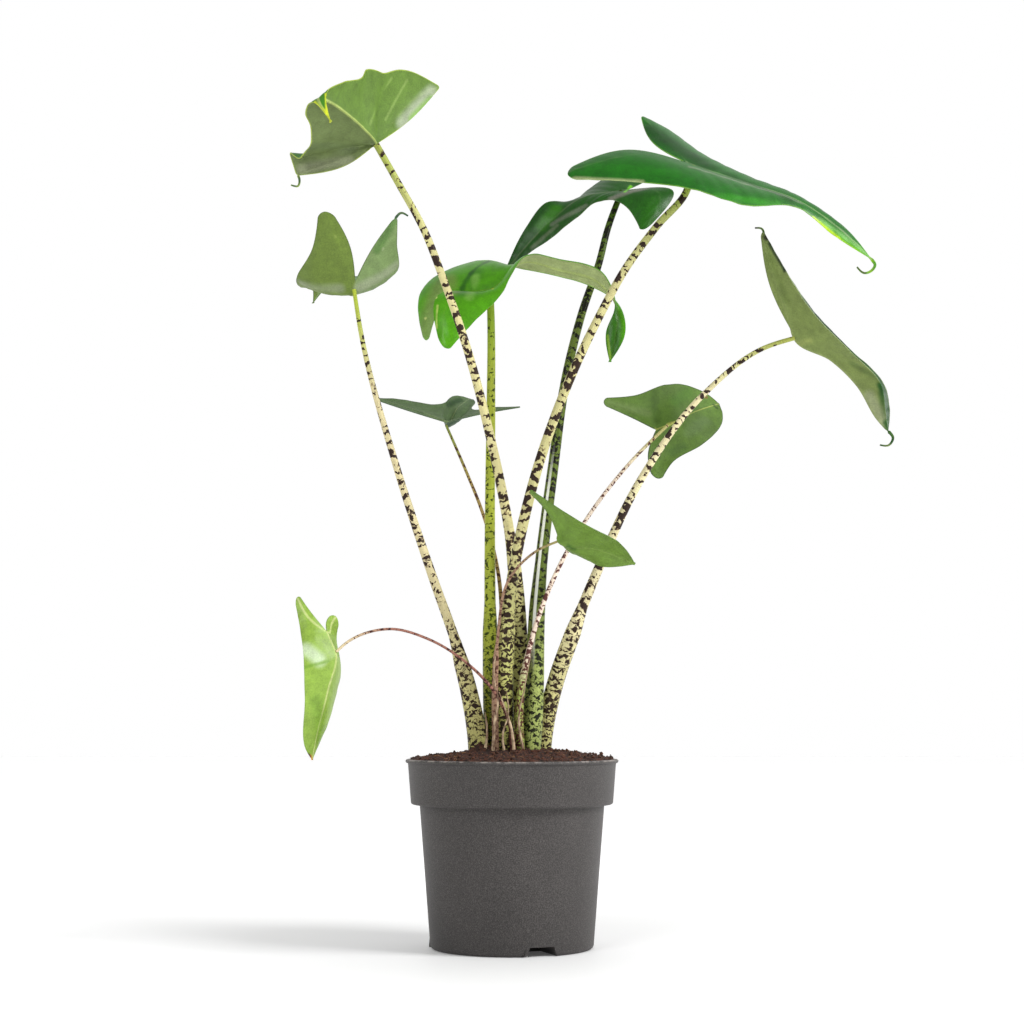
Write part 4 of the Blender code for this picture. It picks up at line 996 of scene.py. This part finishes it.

# %% [markdown]
# The colours are written as they look in daylight, from 0 to 255. Young leaves are pale and yellowish,
# old ones deep and dark. The strokes add what the recipe can't know: a painted sheen low on an
# underside, a painted highlight on an upper face, the yellow rim of an apex that curls over, painted
# shade along a crease, a brown and dried tip.

# %% Ten palettes
PALETTES = {
    1: Palette((58, 118, 24), (88, 118, 42), left=(98, 114, 66), rib=(168, 184, 100), vein=0.34,
               margin=(168, 186, 70), ribs=0.75, lobe_ribs=0.1, strokes=(
                   # painted sheen: a pale grey band along the lower edge of the right lobe
                   ((404, 124), (432, 94), 9, (160, 168, 146), 0.7),
                   ((412, 122), (432, 100), 5, (112, 158, 54), 0.7),
                   # painted sheen: a pale grey band along the lower edge of the left lobe
                   ((300, 168), (350, 160), 7, (140, 144, 118), 0.6),
                   ((312, 150), (352, 150), 9, (92, 108, 70), 0.5),
                   ((313, 104), (328, 112), 2.6, (196, 206, 40), 0.9),
                   ((328, 93), (329, 113), 2.0, (196, 206, 40), 0.9),
                   ((328, 115), (331, 122), 2.4, (176, 184, 50), 0.9),
                   ((298, 178), (292, 186), 5, (44, 78, 40), 0.9),
                   ((392, 80), (372, 125), 2, (130, 156, 80), 0.5),
                   ((408, 82), (385, 120), 2, (130, 156, 80), 0.5))),
    2: Palette((60, 110, 40), (116, 140, 86), left=(98, 120, 46), rib=(168, 172, 120), vein=0.08,
               margin=(52, 74, 32), ribs=0.1, lobe_ribs=0.0, strokes=(
                   ((376, 250), (392, 224), 6, (72, 112, 46), 0.7),
                   ((397, 218), (408, 216), 4, (28, 70, 44), 0.85),
                   # painted sheen: pale grey bands along the bottom of the underside
                   ((360, 286), (396, 268), 8, (162, 166, 146), 0.5),
                   ((300, 284), (338, 290), 7, (146, 154, 130), 0.5),
                   ((312, 240), (304, 272), 8, (92, 112, 52), 0.5),
                   ((352, 286), (334, 236), 1.6, (134, 150, 74), 0.5),
                   ((360, 284), (384, 250), 1.6, (160, 170, 130), 0.5))),
    3: Palette((78, 152, 10), (146, 160, 104), rib=(160, 180, 70), vein=0.1, ribs=0.25, lobe_ribs=0.05,
               gloss=0.30, margin=(84, 152, 14), strokes=(
                   ((440, 284), (424, 330), 17, (112, 140, 70), 0.95),
                   ((448, 279), (455, 290), 9, (112, 146, 58), 0.8),
                   ((448, 281), (436, 296), 1.6, (186, 200, 120), 0.9),
                   ((436, 296), (423, 318), 1.6, (186, 200, 120), 0.9),
                   ((436, 304), (435, 326), 1.6, (176, 196, 100), 0.8),
                   # painted shade: a dark line along the crease, and darker green beside it
                   ((475, 272), (462, 292), 9, (44, 108, 12), 0.5),
                   ((487, 260), (472, 272), 3.5, (30, 88, 6), 0.8),
                   ((472, 272), (462, 287), 4.5, (30, 88, 6), 0.8),
                   ((462, 287), (452, 312), 4.5, (38, 100, 8), 0.6),
                   # painted highlight: a pale patch on the near half beside the crease
                   ((468, 296), (482, 278), 6, (150, 200, 96), 0.4),
                   ((491, 287), (491, 291), 2.2, (190, 206, 60), 0.9),
                   ((615, 312), (611, 350), 13, (34, 80, 14), 0.85),
                   ((605.5, 336), (608.5, 356), 1.8, (130, 170, 40), 0.7))),
    4: Palette((24, 74, 10), (90, 120, 60), rib=(104, 118, 84), vein=0.15, ribs=0.3, lobe_ribs=0.1,
               gloss=0.32, margin=(62, 92, 40), strokes=(
                   ((540, 226), (556, 208), 9, (52, 118, 12), 0.7),
                   # painted sheen: grey streaks along the midrib's groove
                   ((552, 222), (584, 204), 4, (110, 118, 100), 0.6),
                   ((530, 246), (556, 224), 3, (96, 108, 82), 0.6),
                   # painted reflection: a grey band where the near lobe curves over
                   ((612, 196), (646, 186), 5, (112, 110, 100), 0.75),
                   ((626, 190), (630, 184), 2.4, (96, 170, 20), 1.0),
                   ((655, 200), (645, 222), 9, (32, 90, 8), 0.6))),
    5: Palette((22, 92, 12), (120, 150, 70), rib=(132, 158, 104), vein=0.12, ribs=0.45, lobe_ribs=0.1,
               gloss=0.36, margin=(110, 160, 60), strokes=(
                   ((650, 128), (704, 162), 16, (14, 58, 10), 0.85),
                   ((716, 166), (790, 198), 7, (16, 66, 10), 0.7),
                   ((590, 164), (680, 172), 8, (28, 104, 14), 0.5),
                   # painted sheen: a pale band along the rolled-under bottom edge of the near lobe
                   ((574, 180), (640, 181), 4, (158, 164, 120), 0.7),
                   ((690, 165), (746, 183), 3.5, (120, 130, 104), 0.5),
                   ((746, 183), (800, 201), 3, (120, 130, 104), 0.4),
                   ((720, 196), (780, 206), 7, (44, 128, 18), 0.6),
                   ((820, 226), (868, 262), 8, (84, 158, 20), 0.75),
                   ((809, 224), (834, 245), 2.6, (176, 206, 20), 0.8),
                   ((834, 245), (866, 264), 2.0, (150, 196, 20), 0.7),
                   ((871, 262), (872, 271), 4, (110, 150, 24), 0.9),
                   ((866, 273), (857, 267), 3, (70, 84, 30), 0.9))),
    6: Palette((20, 66, 12), (112, 126, 70), left=(112, 128, 68), rib=(148, 158, 104), vein=0.2, ribs=0.35,
               lobe_ribs=0.15, margin=(104, 120, 66), strokes=(
                   ((868, 398), (884, 424), 8, (146, 154, 116), 0.8),
                   ((852, 366), (876, 380), 5, (84, 104, 50), 0.7),
                   ((768, 258), (784, 300), 7, (96, 114, 52), 0.6),
                   ((796, 344), (810, 342), 4, (138, 150, 82), 0.7),
                   ((767, 244), (785, 270), 3.0, (30, 46, 20), 0.9),
                   ((785, 270), (811, 305), 3.4, (26, 46, 18), 0.9),
                   ((811, 305), (851, 348), 3.8, (18, 50, 12), 0.95),
                   ((851, 348), (884, 386), 4.6, (20, 62, 12), 0.95),
                   ((884, 386), (890, 424), 6, (24, 76, 14), 0.95),
                   ((889, 424), (893, 438), 5, (36, 84, 20), 0.95),
                   ((893, 438), (880, 445), 4, (26, 64, 18), 0.95),
                   ((755, 228), (765, 238), 4, (22, 16, 12), 0.95))),
    7: Palette((50, 110, 30), (84, 114, 40), left=(84, 114, 42), rib=(160, 168, 84), vein=0.2, ribs=0.7,
               lobe_ribs=0.0, margin=(48, 72, 26), strokes=(
                   ((656, 392), (658, 420), 7, (62, 90, 24), 0.7),
                   ((612, 402), (648, 412), 6, (102, 124, 66), 0.6),
                   ((676, 400), (690, 390), 9, (78, 122, 34), 0.6),
                   ((690, 430), (706, 418), 9, (98, 124, 70), 0.6),
                   ((672, 450), (684, 446), 7, (62, 94, 28), 0.6),
                   ((664, 425), (674, 421), 2.6, (168, 172, 84), 0.9),
                   ((706, 396), (709, 399), 2, (120, 92, 40), 0.8),
                   ((716, 404), (718, 406), 2.5, (44, 70, 24), 0.8))),
    8: Palette((26, 70, 20), (84, 108, 68), left=(88, 112, 70), rib=(140, 150, 104), vein=0.25, ribs=0.3,
               lobe_ribs=0.15, margin=(60, 84, 50), strokes=(
                   ((450, 404), (462, 398), 5, (30, 66, 22), 0.8),
                   ((430, 412), (445, 420), 5, (112, 130, 84), 0.5),
                   ((452, 418), (474, 404), 5, (108, 126, 88), 0.5))),
    9: Palette((60, 120, 40), (104, 136, 52), left=(102, 134, 50), rib=(132, 156, 76), vein=0.14, ribs=0.25,
               lobe_ribs=0.05, margin=(84, 112, 44), strokes=(
                   ((568, 549), (575, 551), 4, (66, 104, 30), 0.9),)),
    10: Palette((136, 168, 66), (140, 164, 84), rib=(196, 206, 136), vein=0.2, ribs=0.75, lobe_ribs=0.7,
                gloss=0.30, margin=(120, 152, 60), strokes=(
                    # painted highlight: a whitish patch of gloss on the upper face
                    ((308, 650), (320, 658), 9, (206, 220, 196), 0.6),
                    ((306, 668), (330, 660), 2.4, (112, 150, 50), 0.8),
                    ((318, 700), (322, 740), 9, (108, 144, 46), 0.6),
                    ((312, 757), (313, 760), 3, (190, 130, 60), 1.0),
                    ((308, 757), (310, 759), 1.8, (60, 30, 20), 1.0))),
}
print("strokes:", sum(len(palette.strokes) for palette in PALETTES.values()))

# %% [markdown]
# Every blade is built the same way and stands for the plain solid of its leaf. Ten copies of one
# blade would be lighter, but the leaves differ too much, so a loop runs the recipe for each.

# %% The blades
for number, leaf in LEAVES.items():
    vertices, faces, fields = thick_blade(leaf, number)
    finish = leaf_finish(number, PALETTES[number], vertices)
    blade = new_piece(f"leaf_blade_{number}", vertices, faces, finish, [f"blade_{number}"],
                      fields)
    print(blade.name, len(blade.data.polygons), "faces")

# %% [markdown]
# ## The stalks
#
# The stalks give the plant its name: they are striped across like a zebra, dense and dark near the soil
# and paler and sparser towards the blade. A curve object with a round section would give the tube, but
# near the soil a stalk widens into a sheath with a groove, where younger leaves came out. So each is
# built ring by ring along its leaf's route, and a ring near the soil is grooved.

# %% Stalk shape
FOOT_HEIGHT = 122.0
FOOT_RISE = 8.0
PATH_SAMPLES = 1200
STALK_SIDES = 28
STALK_RINGS = 220
SHEATH_FADE = 0.03
SHEATH_GROOVE = 0.22
SHEATH_WING = 0.08
STALK_SINK = 0.4


def stalk_path(leaf):
    """Evenly spaced points up a stalk, from its foot in the soil to the blade's joint."""
    foot_x, foot_y = leaf.stalk.foot
    start = [np.array([foot_x, foot_y, height]) for height in (FOOT_HEIGHT, POT_HEIGHT + FOOT_RISE)]
    points = start + [seen(p) for p in leaf.stalk.route] + [seen(leaf.midrib[0])]
    dense = smooth_curve(points, np.linspace(0, len(points) - 1, PATH_SAMPLES))
    run = np.concatenate([[0], np.cumsum(np.linalg.norm(np.diff(dense, axis=0), axis=1))])
    marks = np.linspace(0, run[-1] - STALK_SINK, STALK_RINGS)
    return np.column_stack([np.interp(marks, run, dense[:, k]) for k in range(3)]), marks


def stalk_width(leaf, height):
    """The stalk's width at a height: a tapering sheath, then the stalk above it."""
    foot, sheath, above, top = leaf.stalk.widths
    share = min(max((height - POT_HEIGHT) / (seen(leaf.midrib[0])[2] - POT_HEIGHT), 0.0), 1.0)
    end = leaf.stalk.sheath_end
    low = foot + (sheath - foot) * min(share / end, 1.0)
    high = above + (top - above) * max((share - end) / (1 - end), 0.0)
    blend = min(max((share - end + SHEATH_FADE) / (2 * SHEATH_FADE), 0.0), 1.0)
    return low + (high - low) * blend, 1.0 - blend


def stalk_mesh(leaf, shine_turn):
    """Vertices, faces and fields of a stalk. Its line of shine lies at a turn, in degrees."""
    path, marks = stalk_path(leaf)
    lean = seen(leaf.midrib[0])[:2] - np.array(leaf.stalk.foot)
    side = unit(np.array([-lean[0], -lean[1], 0.0]))
    tangents = np.gradient(path, axis=0)
    angles = 2 * math.pi * np.arange(STALK_SIDES) / STALK_SIDES
    bend = np.abs(np.arctan2(np.sin(angles), np.cos(angles)))
    groove = SHEATH_GROOVE * np.maximum(np.cos(angles), 0.0) ** 6
    wing = SHEATH_WING * np.exp(-((bend - 0.9) / 0.4) ** 2)
    vertices = []
    fields = {"run": [], "round_x": [], "round_y": [], "shine": []}
    for point, tangent, mark in zip(path, tangents, marks):
        tangent = unit(tangent)
        side = unit(side - tangent * (side @ tangent))
        other = np.cross(tangent, side)
        width, sheath = stalk_width(leaf, point[2])
        reach = 0.5 * width * (1 + sheath * (wing - groove))
        around = np.cos(angles)[:, None] * side + np.sin(angles)[:, None] * other
        vertices += list(point + reach[:, None] * around)
        fields["run"] += [mark] * STALK_SIDES
        fields["round_x"] += list(np.cos(angles) * 0.5 * width)
        fields["round_y"] += list(np.sin(angles) * 0.5 * width)
        fields["shine"] += list(np.cos(angles - math.radians(shine_turn)))
    faces = [tuple(range(STALK_SIDES))[::-1]] + tube_faces(STALK_RINGS, STALK_SIDES)
    faces.append(tuple(range((STALK_RINGS - 1) * STALK_SIDES, STALK_RINGS * STALK_SIDES)))
    return vertices, faces, fields


print("stalk 5:", round(stalk_path(LEAVES[5])[1][-1]), "mm long")

# %% [markdown]
# The stripes are noise that is stretched across the stalk and cut off at a level, so that it leaves
# ragged bars with gaps. A wave texture would give rings that are too even. Near the soil the bars are
# fine and run into each other, and higher up they are coarser and sparser. Two more noises shift them
# up and down: a fine one frays their edges, and a broad one slants them. Small dashes fill the gaps.

# %% Zebra skin
LOW_BARS, HIGH_BARS, DASHES = (0.15, 0.36), (0.13, 0.28), (0.40, 0.85)
FRAY, SLANT = 2.6, 7.0


@dataclass
class Skin:
    """A stalk's colours from the soil to the blade, its marks, and how much of it they cover.

    The colour changes from low to middle over the part of the stalk that rise names.
    """
    low: tuple
    middle: tuple
    high: tuple
    marks: tuple = (30, 12, 14)
    fringe: tuple = (104, 60, 44)
    cover_low: float = 0.46
    cover_high: float = 0.34
    size: float = 1.0
    rise: tuple = (0.05, 0.42)
    gloss: float = 0.38
    shine: float = 0.0


def stalk_finish(number, skin, length):
    """A stalk's material. The length of the stalk is in millimetres."""
    finish = Finish(f"stalk_{number}", skin.gloss)
    finish.set("Specular IOR Level", 0.15)
    run, x, y = finish.field("run"), finish.field("round_x"), finish.field("round_y")
    share = run / length
    frayed = run + (finish.grain(finish.place(), 700.0, 1.0) - 0.5) * FRAY
    frayed = frayed + (finish.grain(finish.place(), 190.0, 1.0) - 0.5) * SLANT

    def pattern(scales, seed):
        across, along = scales[0] / skin.size, scales[1] / skin.size
        return finish.grain(finish.vector(x * across, y * across, frayed * along + seed), 1.0, 1.0, 0.5)

    low_bars, high_bars = pattern(LOW_BARS, 17.0 * number), pattern(HIGH_BARS, 23.0 * number)
    bars = low_bars + finish.step(share, 0.2, 0.5) * (high_bars - low_bars)
    dashes = pattern(DASHES, 31.0 * number)
    level_low, level_high = 0.66 - 0.3 * skin.cover_low, 0.66 - 0.3 * skin.cover_high
    level = level_low + finish.step(share, 0.1, 0.95) * (level_high - level_low)
    level = level + finish.step(share, 0.93, 1.0) * 0.12
    small = dashes - level - 0.06 - finish.step(share, 0.15, 0.6) * 0.2
    ink = finish.node("Math", {"operation": 'MAXIMUM'}, {0: bars - level, 1: small})
    marks, fringe = finish.step(ink, -0.008, 0.012), finish.step(ink, -0.026, 0.0)
    colour = finish.mix(rgb(*skin.low), rgb(*skin.middle), finish.step(share, *skin.rise))
    colour = finish.mix(colour, rgb(*skin.high), finish.step(share, 0.78, 1.0))
    broad = finish.grain(finish.place(), 90.0, 3.0, 0.6)
    streaks = finish.grain(finish.vector(x * 0.8, y * 0.8, run * 0.03), 1.0, 2.0, 0.6)
    colour = finish.tint(colour, 0.52 + broad * 0.5 + streaks * 0.45)
    colour = finish.mix(colour, rgb(*skin.fringe), fringe * 0.6)
    colour = finish.mix(colour, rgb(*skin.marks), marks * 0.95)
    if skin.shine:
        line = finish.step(finish.field("shine"), 0.95, 0.985) * (1 - finish.step(share, 0.45, 0.56))
        line = line * finish.step(share, 0.18, 0.26) * finish.step(broad, 0.25, 0.4)
        colour = finish.mix(colour, (0.9, 0.92, 0.85), line * skin.shine)
    finish.set("Base Color", colour)
    finish.set("Roughness", skin.gloss + broad * 0.14)
    finish.bump(streaks * 0.6 + marks * 0.4, 0.12, 0.4)
    return finish


for name, scales in {"low bars": LOW_BARS, "high bars": HIGH_BARS, "dashes": DASHES}.items():
    print(name, "repeat about every", round(1 / scales[1], 1), "mm")

# %% [markdown]
# The older stalks are cream with marks that are nearly black. The green one has fine specks, the dark
# one is green under its blotches and has a line of shine, and the thin ones are pinkish with red brown
# dashes. Only these values differ from stalk to stalk.

# %% The stalks
SKINS = {
    1: Skin((186, 188, 106), (204, 196, 142), (150, 160, 76)),
    2: Skin((184, 180, 110), (206, 194, 150), (168, 184, 60), size=0.8, cover_low=0.40, cover_high=0.28),
    3: Skin((146, 148, 54), (156, 166, 60), (130, 160, 44), marks=(44, 54, 12), fringe=(110, 132, 26),
            cover_low=0.48, cover_high=0.05, size=0.55, gloss=0.28),
    4: Skin((158, 170, 96), (88, 104, 40), (52, 78, 14), marks=(16, 14, 8), fringe=(60, 76, 24),
            cover_low=0.34, cover_high=0.5, size=0.8, rise=(0.12, 0.36), gloss=0.30, shine=0.9),
    5: Skin((184, 188, 104), (190, 184, 130), (140, 156, 66), cover_low=0.48),
    6: Skin((196, 192, 122), (212, 202, 160), (164, 172, 84), size=0.9),
    7: Skin((164, 184, 90), (222, 204, 186), (180, 176, 112), marks=(74, 30, 30), fringe=(176, 130, 110),
            cover_low=0.5, cover_high=0.3, size=0.6, rise=(0.22, 0.34)),
    8: Skin((146, 130, 88), (156, 134, 78), (120, 132, 60), marks=(66, 36, 22), fringe=(120, 84, 50),
            size=0.5),
    9: Skin((150, 122, 98), (160, 128, 104), (160, 150, 96), marks=(84, 50, 42), fringe=(130, 96, 76),
            cover_low=0.4, cover_high=0.2, size=0.5),
    10: Skin((104, 66, 56), (150, 104, 90), (214, 196, 158), marks=(60, 26, 26), fringe=(110, 66, 56),
             cover_low=0.6, cover_high=0.2, size=0.45),
}
SHINE_TURNS = {4: 37.0}
for number, leaf in LEAVES.items():
    vertices, faces, fields = stalk_mesh(leaf, SHINE_TURNS.get(number, 0.0))
    stalk = new_piece(f"leaf_stalk_{number}", vertices, faces,
                      stalk_finish(number, SKINS[number], float(max(fields["run"]))),
                      [f"petiole_{number}"], fields)
    print(stalk.name, round(max(fields["run"])), "mm long")

# %% [markdown]
# ## Dry sheaths
#
# At the foot of the plant the oldest sheaths have died back to brown, papery strips that still cling to
# the stalks. Cloth could be draped to make them, but they are stiff and thin, so each is a ribbon along
# a few landmarks, curled across its width and narrowing towards the top.

# %% Dry sheaths
STRIPS = (
    ([(493, 751, -26), (495, 722, -27), (498, 700, -27), (494, 678, -26), (496, 652, -25)], 1.5),
    ([(514, 750, -28), (511, 727, -29), (505, 708, -29), (499, 692, -28)], 1.3),
    ([(523, 749, -19), (519, 716, -20), (524, 690, -20), (531, 655, -19)], 1.1),
    ([(485, 751, -16), (487, 730, -17), (485, 712, -16)], 1.4),
    ([(504, 751, -29), (503, 733, -30), (508, 716, -30), (506, 690, -29)], 1.0),
)
STRIP_ROWS = 40
STRIP_COLUMNS = 7
STRIP_CURL = 0.8
STRIP_THICKNESS = 0.25
STRIP_TAPER = 0.75


def strip_mesh(landmarks, width):
    """A curled ribbon with two faces that follows a row of landmarks up the stalks."""
    places = np.linspace(0, len(landmarks) - 1, STRIP_ROWS)
    line = smooth_curve([seen(p) for p in landmarks], places)
    tangents = np.gradient(line, axis=0)
    sheets = ([], [])
    columns = np.linspace(-1, 1, STRIP_COLUMNS)
    for i, (point, tangent) in enumerate(zip(line, tangents)):
        to_eye = unit(EYE - point)
        sideways = unit(np.cross(tangent, to_eye))
        share = i / (STRIP_ROWS - 1)
        uneven = 1 + 0.25 * noise.noise(Vector((point[2] * 0.3, width, 0.0)))
        reach = width * (1 - STRIP_TAPER * share) * uneven
        for column in columns:
            ripple = 0.35 * noise.noise(Vector((column * 2, point[2] * 0.25, width)))
            place = point + sideways * reach * column + to_eye * (STRIP_CURL * (1 - column ** 2) + ripple)
            sheets[0].append(place + to_eye * STRIP_THICKNESS)
            sheets[1].append(place - to_eye * STRIP_THICKNESS)
    wide, count = len(columns), len(sheets[0])
    faces = []
    for i in range(STRIP_ROWS - 1):
        for k in range(wide - 1):
            a = i * wide + k
            faces += [(a, a + 1, a + wide + 1, a + wide),
                      (a + count, a + wide + count, a + wide + 1 + count, a + 1 + count)]
    rim = list(range(wide)) + [i * wide + wide - 1 for i in range(1, STRIP_ROWS)]
    rim += list(range(count - 2, count - wide - 1, -1)) + [i * wide for i in range(STRIP_ROWS - 2, 0, -1)]
    faces += [(rim[i - 1], rim[i - 1] + count, rim[i] + count, rim[i]) for i in range(len(rim))]
    return sheets[0] + sheets[1], faces


dry = Finish("dry_sheath", 0.75)
where = dry.place()
threads = dry.grain(dry.node("Mapping", {}, {"Vector": where, "Scale": (1.0, 1.0, 0.12)}), 1400.0, 3.0, 0.6)
stain = dry.grain(where, 160.0, 3.0, 0.6)
dry_colour = dry.mix(rgb(96, 62, 46), rgb(206, 182, 148), dry.step(stain * 0.6 + threads * 0.4, 0.38, 0.62))
dry.set("Base Color", dry_colour)
dry.bump(threads, 0.3, 0.7)
for index, (landmarks, width) in enumerate(STRIPS):
    vertices, faces = strip_mesh(landmarks, width)
    new_piece(f"dry_sheath_{index + 1}", vertices, faces, dry, [])
print("dry sheaths:", len(STRIPS))

# %% [markdown]
# ## The potting mix
#
# Peat is crumbly: lumps of a few millimetres, with finer grains between them and stray fibres on top.
# A bump in the finish would be cheaper, but the lumps break the outline along the rim. So they are real
# geometry: a fine grid of rings whose height is a sum of broad and small noises.

# %% Soil surface
GAP = 0.35
SOIL_EDGE_HEIGHT = 149.7
SOIL_MOUND = 8.0
SOIL_MOUND_RADIUS = 100.0
SOIL_LUMP = 0.8
CLUMPS = ((-25.0, -12.0, 5.0, 8.0), (45.0, -10.0, 1.5, 30.0))
SOIL_RINGS = 110
SOIL_SECTORS = 260
SOIL_TOP_RADIUS = BAND_TOP_RADIUS - WALL - GAP - 0.1


def soil_height(x, y):
    """The mounded top of the potting mix, with its large lumps."""
    r = math.hypot(x, y)
    mound = SOIL_MOUND * (0.5 + 0.5 * math.cos(math.pi * min(r / SOIL_MOUND_RADIUS, 1.0)))
    lumps = (math.sin(0.31 * x + 0.9) * math.cos(0.27 * y - 0.4) + 0.7 * math.sin(0.17 * x - 0.35 * y + 2.1)
             + 0.6 * math.cos(0.52 * x + 0.44 * y) + 0.5 * math.sin(0.71 * y - 0.38 * x + 0.5))
    height = SOIL_EDGE_HEIGHT + mound + SOIL_LUMP * lumps
    for clump_x, clump_y, rise, radius in CLUMPS:
        height += rise * math.exp(-((x - clump_x) ** 2 + (y - clump_y) ** 2) / radius ** 2)
    return height


def crumbly_height(x, y):
    """The same top with crumbs of 2 to 6 mm."""
    coarse = noise.noise(Vector((x * 0.28, y * 0.28, 3.0)))
    medium = noise.noise(Vector((x * 0.62, y * 0.62, 9.0)))
    small = noise.noise(Vector((x * 1.5, y * 1.5, 21.0)))
    return soil_height(x, y) + 1.3 * coarse + 0.9 * abs(medium) * 2 - 0.5 + 0.45 * small


def soil_mesh():
    """The plug of potting mix: its wall follows the inside of the pot, its top is crumbly."""
    body, band = BODY_TOP_RADIUS - WALL - GAP, BAND_BOTTOM_RADIUS - WALL - GAP
    ledge = STEP_HEIGHT + WALL + GAP
    wall = [(BASE_RADIUS - BASE_CORNER - 3, FLOOR + 12.0), (BASE_RADIUS - WALL - GAP, FLOOR + 14.0),
            (body, STEP_HEIGHT - 1.5), (body, ledge), (band - 1.2, ledge), (band, STEP_HEIGHT + 3.5),
            (SOIL_TOP_RADIUS - 0.1, SOIL_EDGE_HEIGHT - 4)]
    angles = 2 * math.pi * np.arange(SOIL_SECTORS) / SOIL_SECTORS
    vertices = [(r * math.cos(a), r * math.sin(a), z) for r, z in wall for a in angles]
    for ring in range(SOIL_RINGS):
        r = SOIL_TOP_RADIUS * (1 - ring / SOIL_RINGS)
        vertices += [(r * math.cos(a), r * math.sin(a), crumbly_height(r * math.cos(a), r * math.sin(a)))
                     for a in angles]
    rings = len(wall) + SOIL_RINGS
    faces = tube_faces(rings, SOIL_SECTORS) + [tuple(range(SOIL_SECTORS))[::-1]]
    peak = len(vertices)
    vertices.append((0.0, 0.0, crumbly_height(0.0, 0.0)))
    last = (rings - 1) * SOIL_SECTORS
    faces += [(peak, last + i, last + (i + 1) % SOIL_SECTORS) for i in range(SOIL_SECTORS)]
    return vertices, faces


print("top of the mound:", round(soil_height(0.0, 0.0), 1), "mm")

# %% [markdown]
# Damp peat is a dark reddish brown and never shines. Each grain has its own shade, so two noises of
# different size choose between a dark and a light brown, and the same two give the finest relief.

# %% Peat
def peat_finish(name, dark, light):
    """A matte brown, mottled between a dark and a light shade."""
    finish = Finish(name, 0.92)
    where = finish.place()
    lump = finish.grain(where, 240.0, 4.0, 0.7)
    grit = finish.grain(where, 900.0, 3.0, 0.7)
    colour = finish.mix(rgb(*dark), rgb(*light), finish.step(lump * 0.55 + grit * 0.45, 0.40, 0.64))
    finish.set("Base Color", colour)
    finish.bump(grit * 0.6 + lump * 0.4, 0.8, 0.9)
    return finish


peat = peat_finish("peat", (28, 15, 11), (88, 48, 32))
vertices, faces = soil_mesh()
soil = new_piece("potting_mix", vertices, faces, peat, ["soil"], sharp=80.0)
print(soil.name, len(faces), "faces")

# %% [markdown]
# Loose crumbs lie on the surface. Particles could scatter them, but one mesh of many small lumps stays
# simple and comes out the same each time, because the draws start from a fixed number.

# %% Crumbs
CRUMBS = 900
CRUMB_SIDES = 6


def random_place(generator, share):
    """A place on the soil, drawn within a share of its radius."""
    r, turn = SOIL_TOP_RADIUS * math.sqrt(generator.random()) * share, 2 * math.pi * generator.random()
    return r * math.cos(turn), r * math.sin(turn)


def crumb_mesh(generator):
    """Small uneven lumps that lie on the soil."""
    vertices, faces = [], []
    for _ in range(CRUMBS):
        x, y = random_place(generator, 0.985)
        size = 0.5 + 1.3 * generator.random() ** 2.2
        centre = np.array([x, y, crumbly_height(x, y) + 0.35 * size])
        start = len(vertices)
        vertices.append(centre + [0, 0, size * (0.7 + 0.4 * generator.random())])
        for level, height in ((0.85, 0.35), (0.9, -0.35)):
            for i in range(CRUMB_SIDES):
                a = 2 * math.pi * (i + 0.5 * (level > 0.87)) / CRUMB_SIDES
                reach = size * level * (0.7 + 0.6 * generator.random())
                vertices.append(centre + [reach * math.cos(a), reach * math.sin(a), height * size])
        vertices.append(centre + [0, 0, -size])
        top, bottom = start, start + 2 * CRUMB_SIDES + 1
        for i in range(CRUMB_SIDES):
            j = (i + 1) % CRUMB_SIDES
            a, b = start + 1 + i, start + 1 + j
            c, d = a + CRUMB_SIDES, b + CRUMB_SIDES
            faces += [(top, a, b), (a, c, b), (b, c, d), (bottom, d, c)]
    return vertices, faces


vertices, faces = crumb_mesh(random.Random(5))
crumb_peat = peat_finish("crumb", (34, 19, 13), (104, 62, 42))
crumbs = new_piece("peat_crumbs", vertices, faces, crumb_peat, [], sharp=180.0)
print(crumbs.name, CRUMBS)

# %% [markdown]
# Peat holds the remains of roots and moss. They show as short, pale, curved threads, so each is a thin
# three-sided tube that wanders over the lumps and is kept off the pot's wall. Hair would be lighter to
# make, but a mesh has a thickness of its own.

# %% Fibres
FIBRES = 170
FIBRE_SECTIONS = 6
WALL_MARGIN = 1.0


def fibre_mesh(generator):
    """Short, curved, three-sided fibres that lie on the soil."""
    vertices, faces = [], []
    for _ in range(FIBRES):
        x, y = random_place(generator, 0.93)
        heading, curl = 2 * math.pi * generator.random(), generator.uniform(-0.35, 0.35)
        thick, stride = generator.uniform(0.12, 0.3), generator.uniform(0.8, 1.7)
        start = len(vertices)
        for _ in range(FIBRE_SECTIONS):
            away, limit = math.hypot(x, y), SOIL_TOP_RADIUS - WALL_MARGIN
            if away > limit:
                x, y = x * limit / away, y * limit / away
            z = crumbly_height(x, y) + 0.5
            for i in range(3):
                a = 2 * math.pi * i / 3
                aside = thick * math.sin(a)
                vertices.append((x - aside * math.sin(heading), y + aside * math.cos(heading),
                                 z + thick * math.cos(a)))
            x, y = x + stride * math.cos(heading), y + stride * math.sin(heading)
            heading += curl
        end = len(vertices)
        faces += tube_faces(FIBRE_SECTIONS, 3, start)
        faces += [(start + 2, start + 1, start), (end - 3, end - 2, end - 1)]
    return vertices, faces


vertices, faces = fibre_mesh(random.Random(11))
fibre_peat = peat_finish("fibre", (96, 62, 40), (168, 124, 84))
fibres = new_piece("peat_fibres", vertices, faces, fibre_peat, [], sharp=180.0)
print(fibres.name, FIBRES)
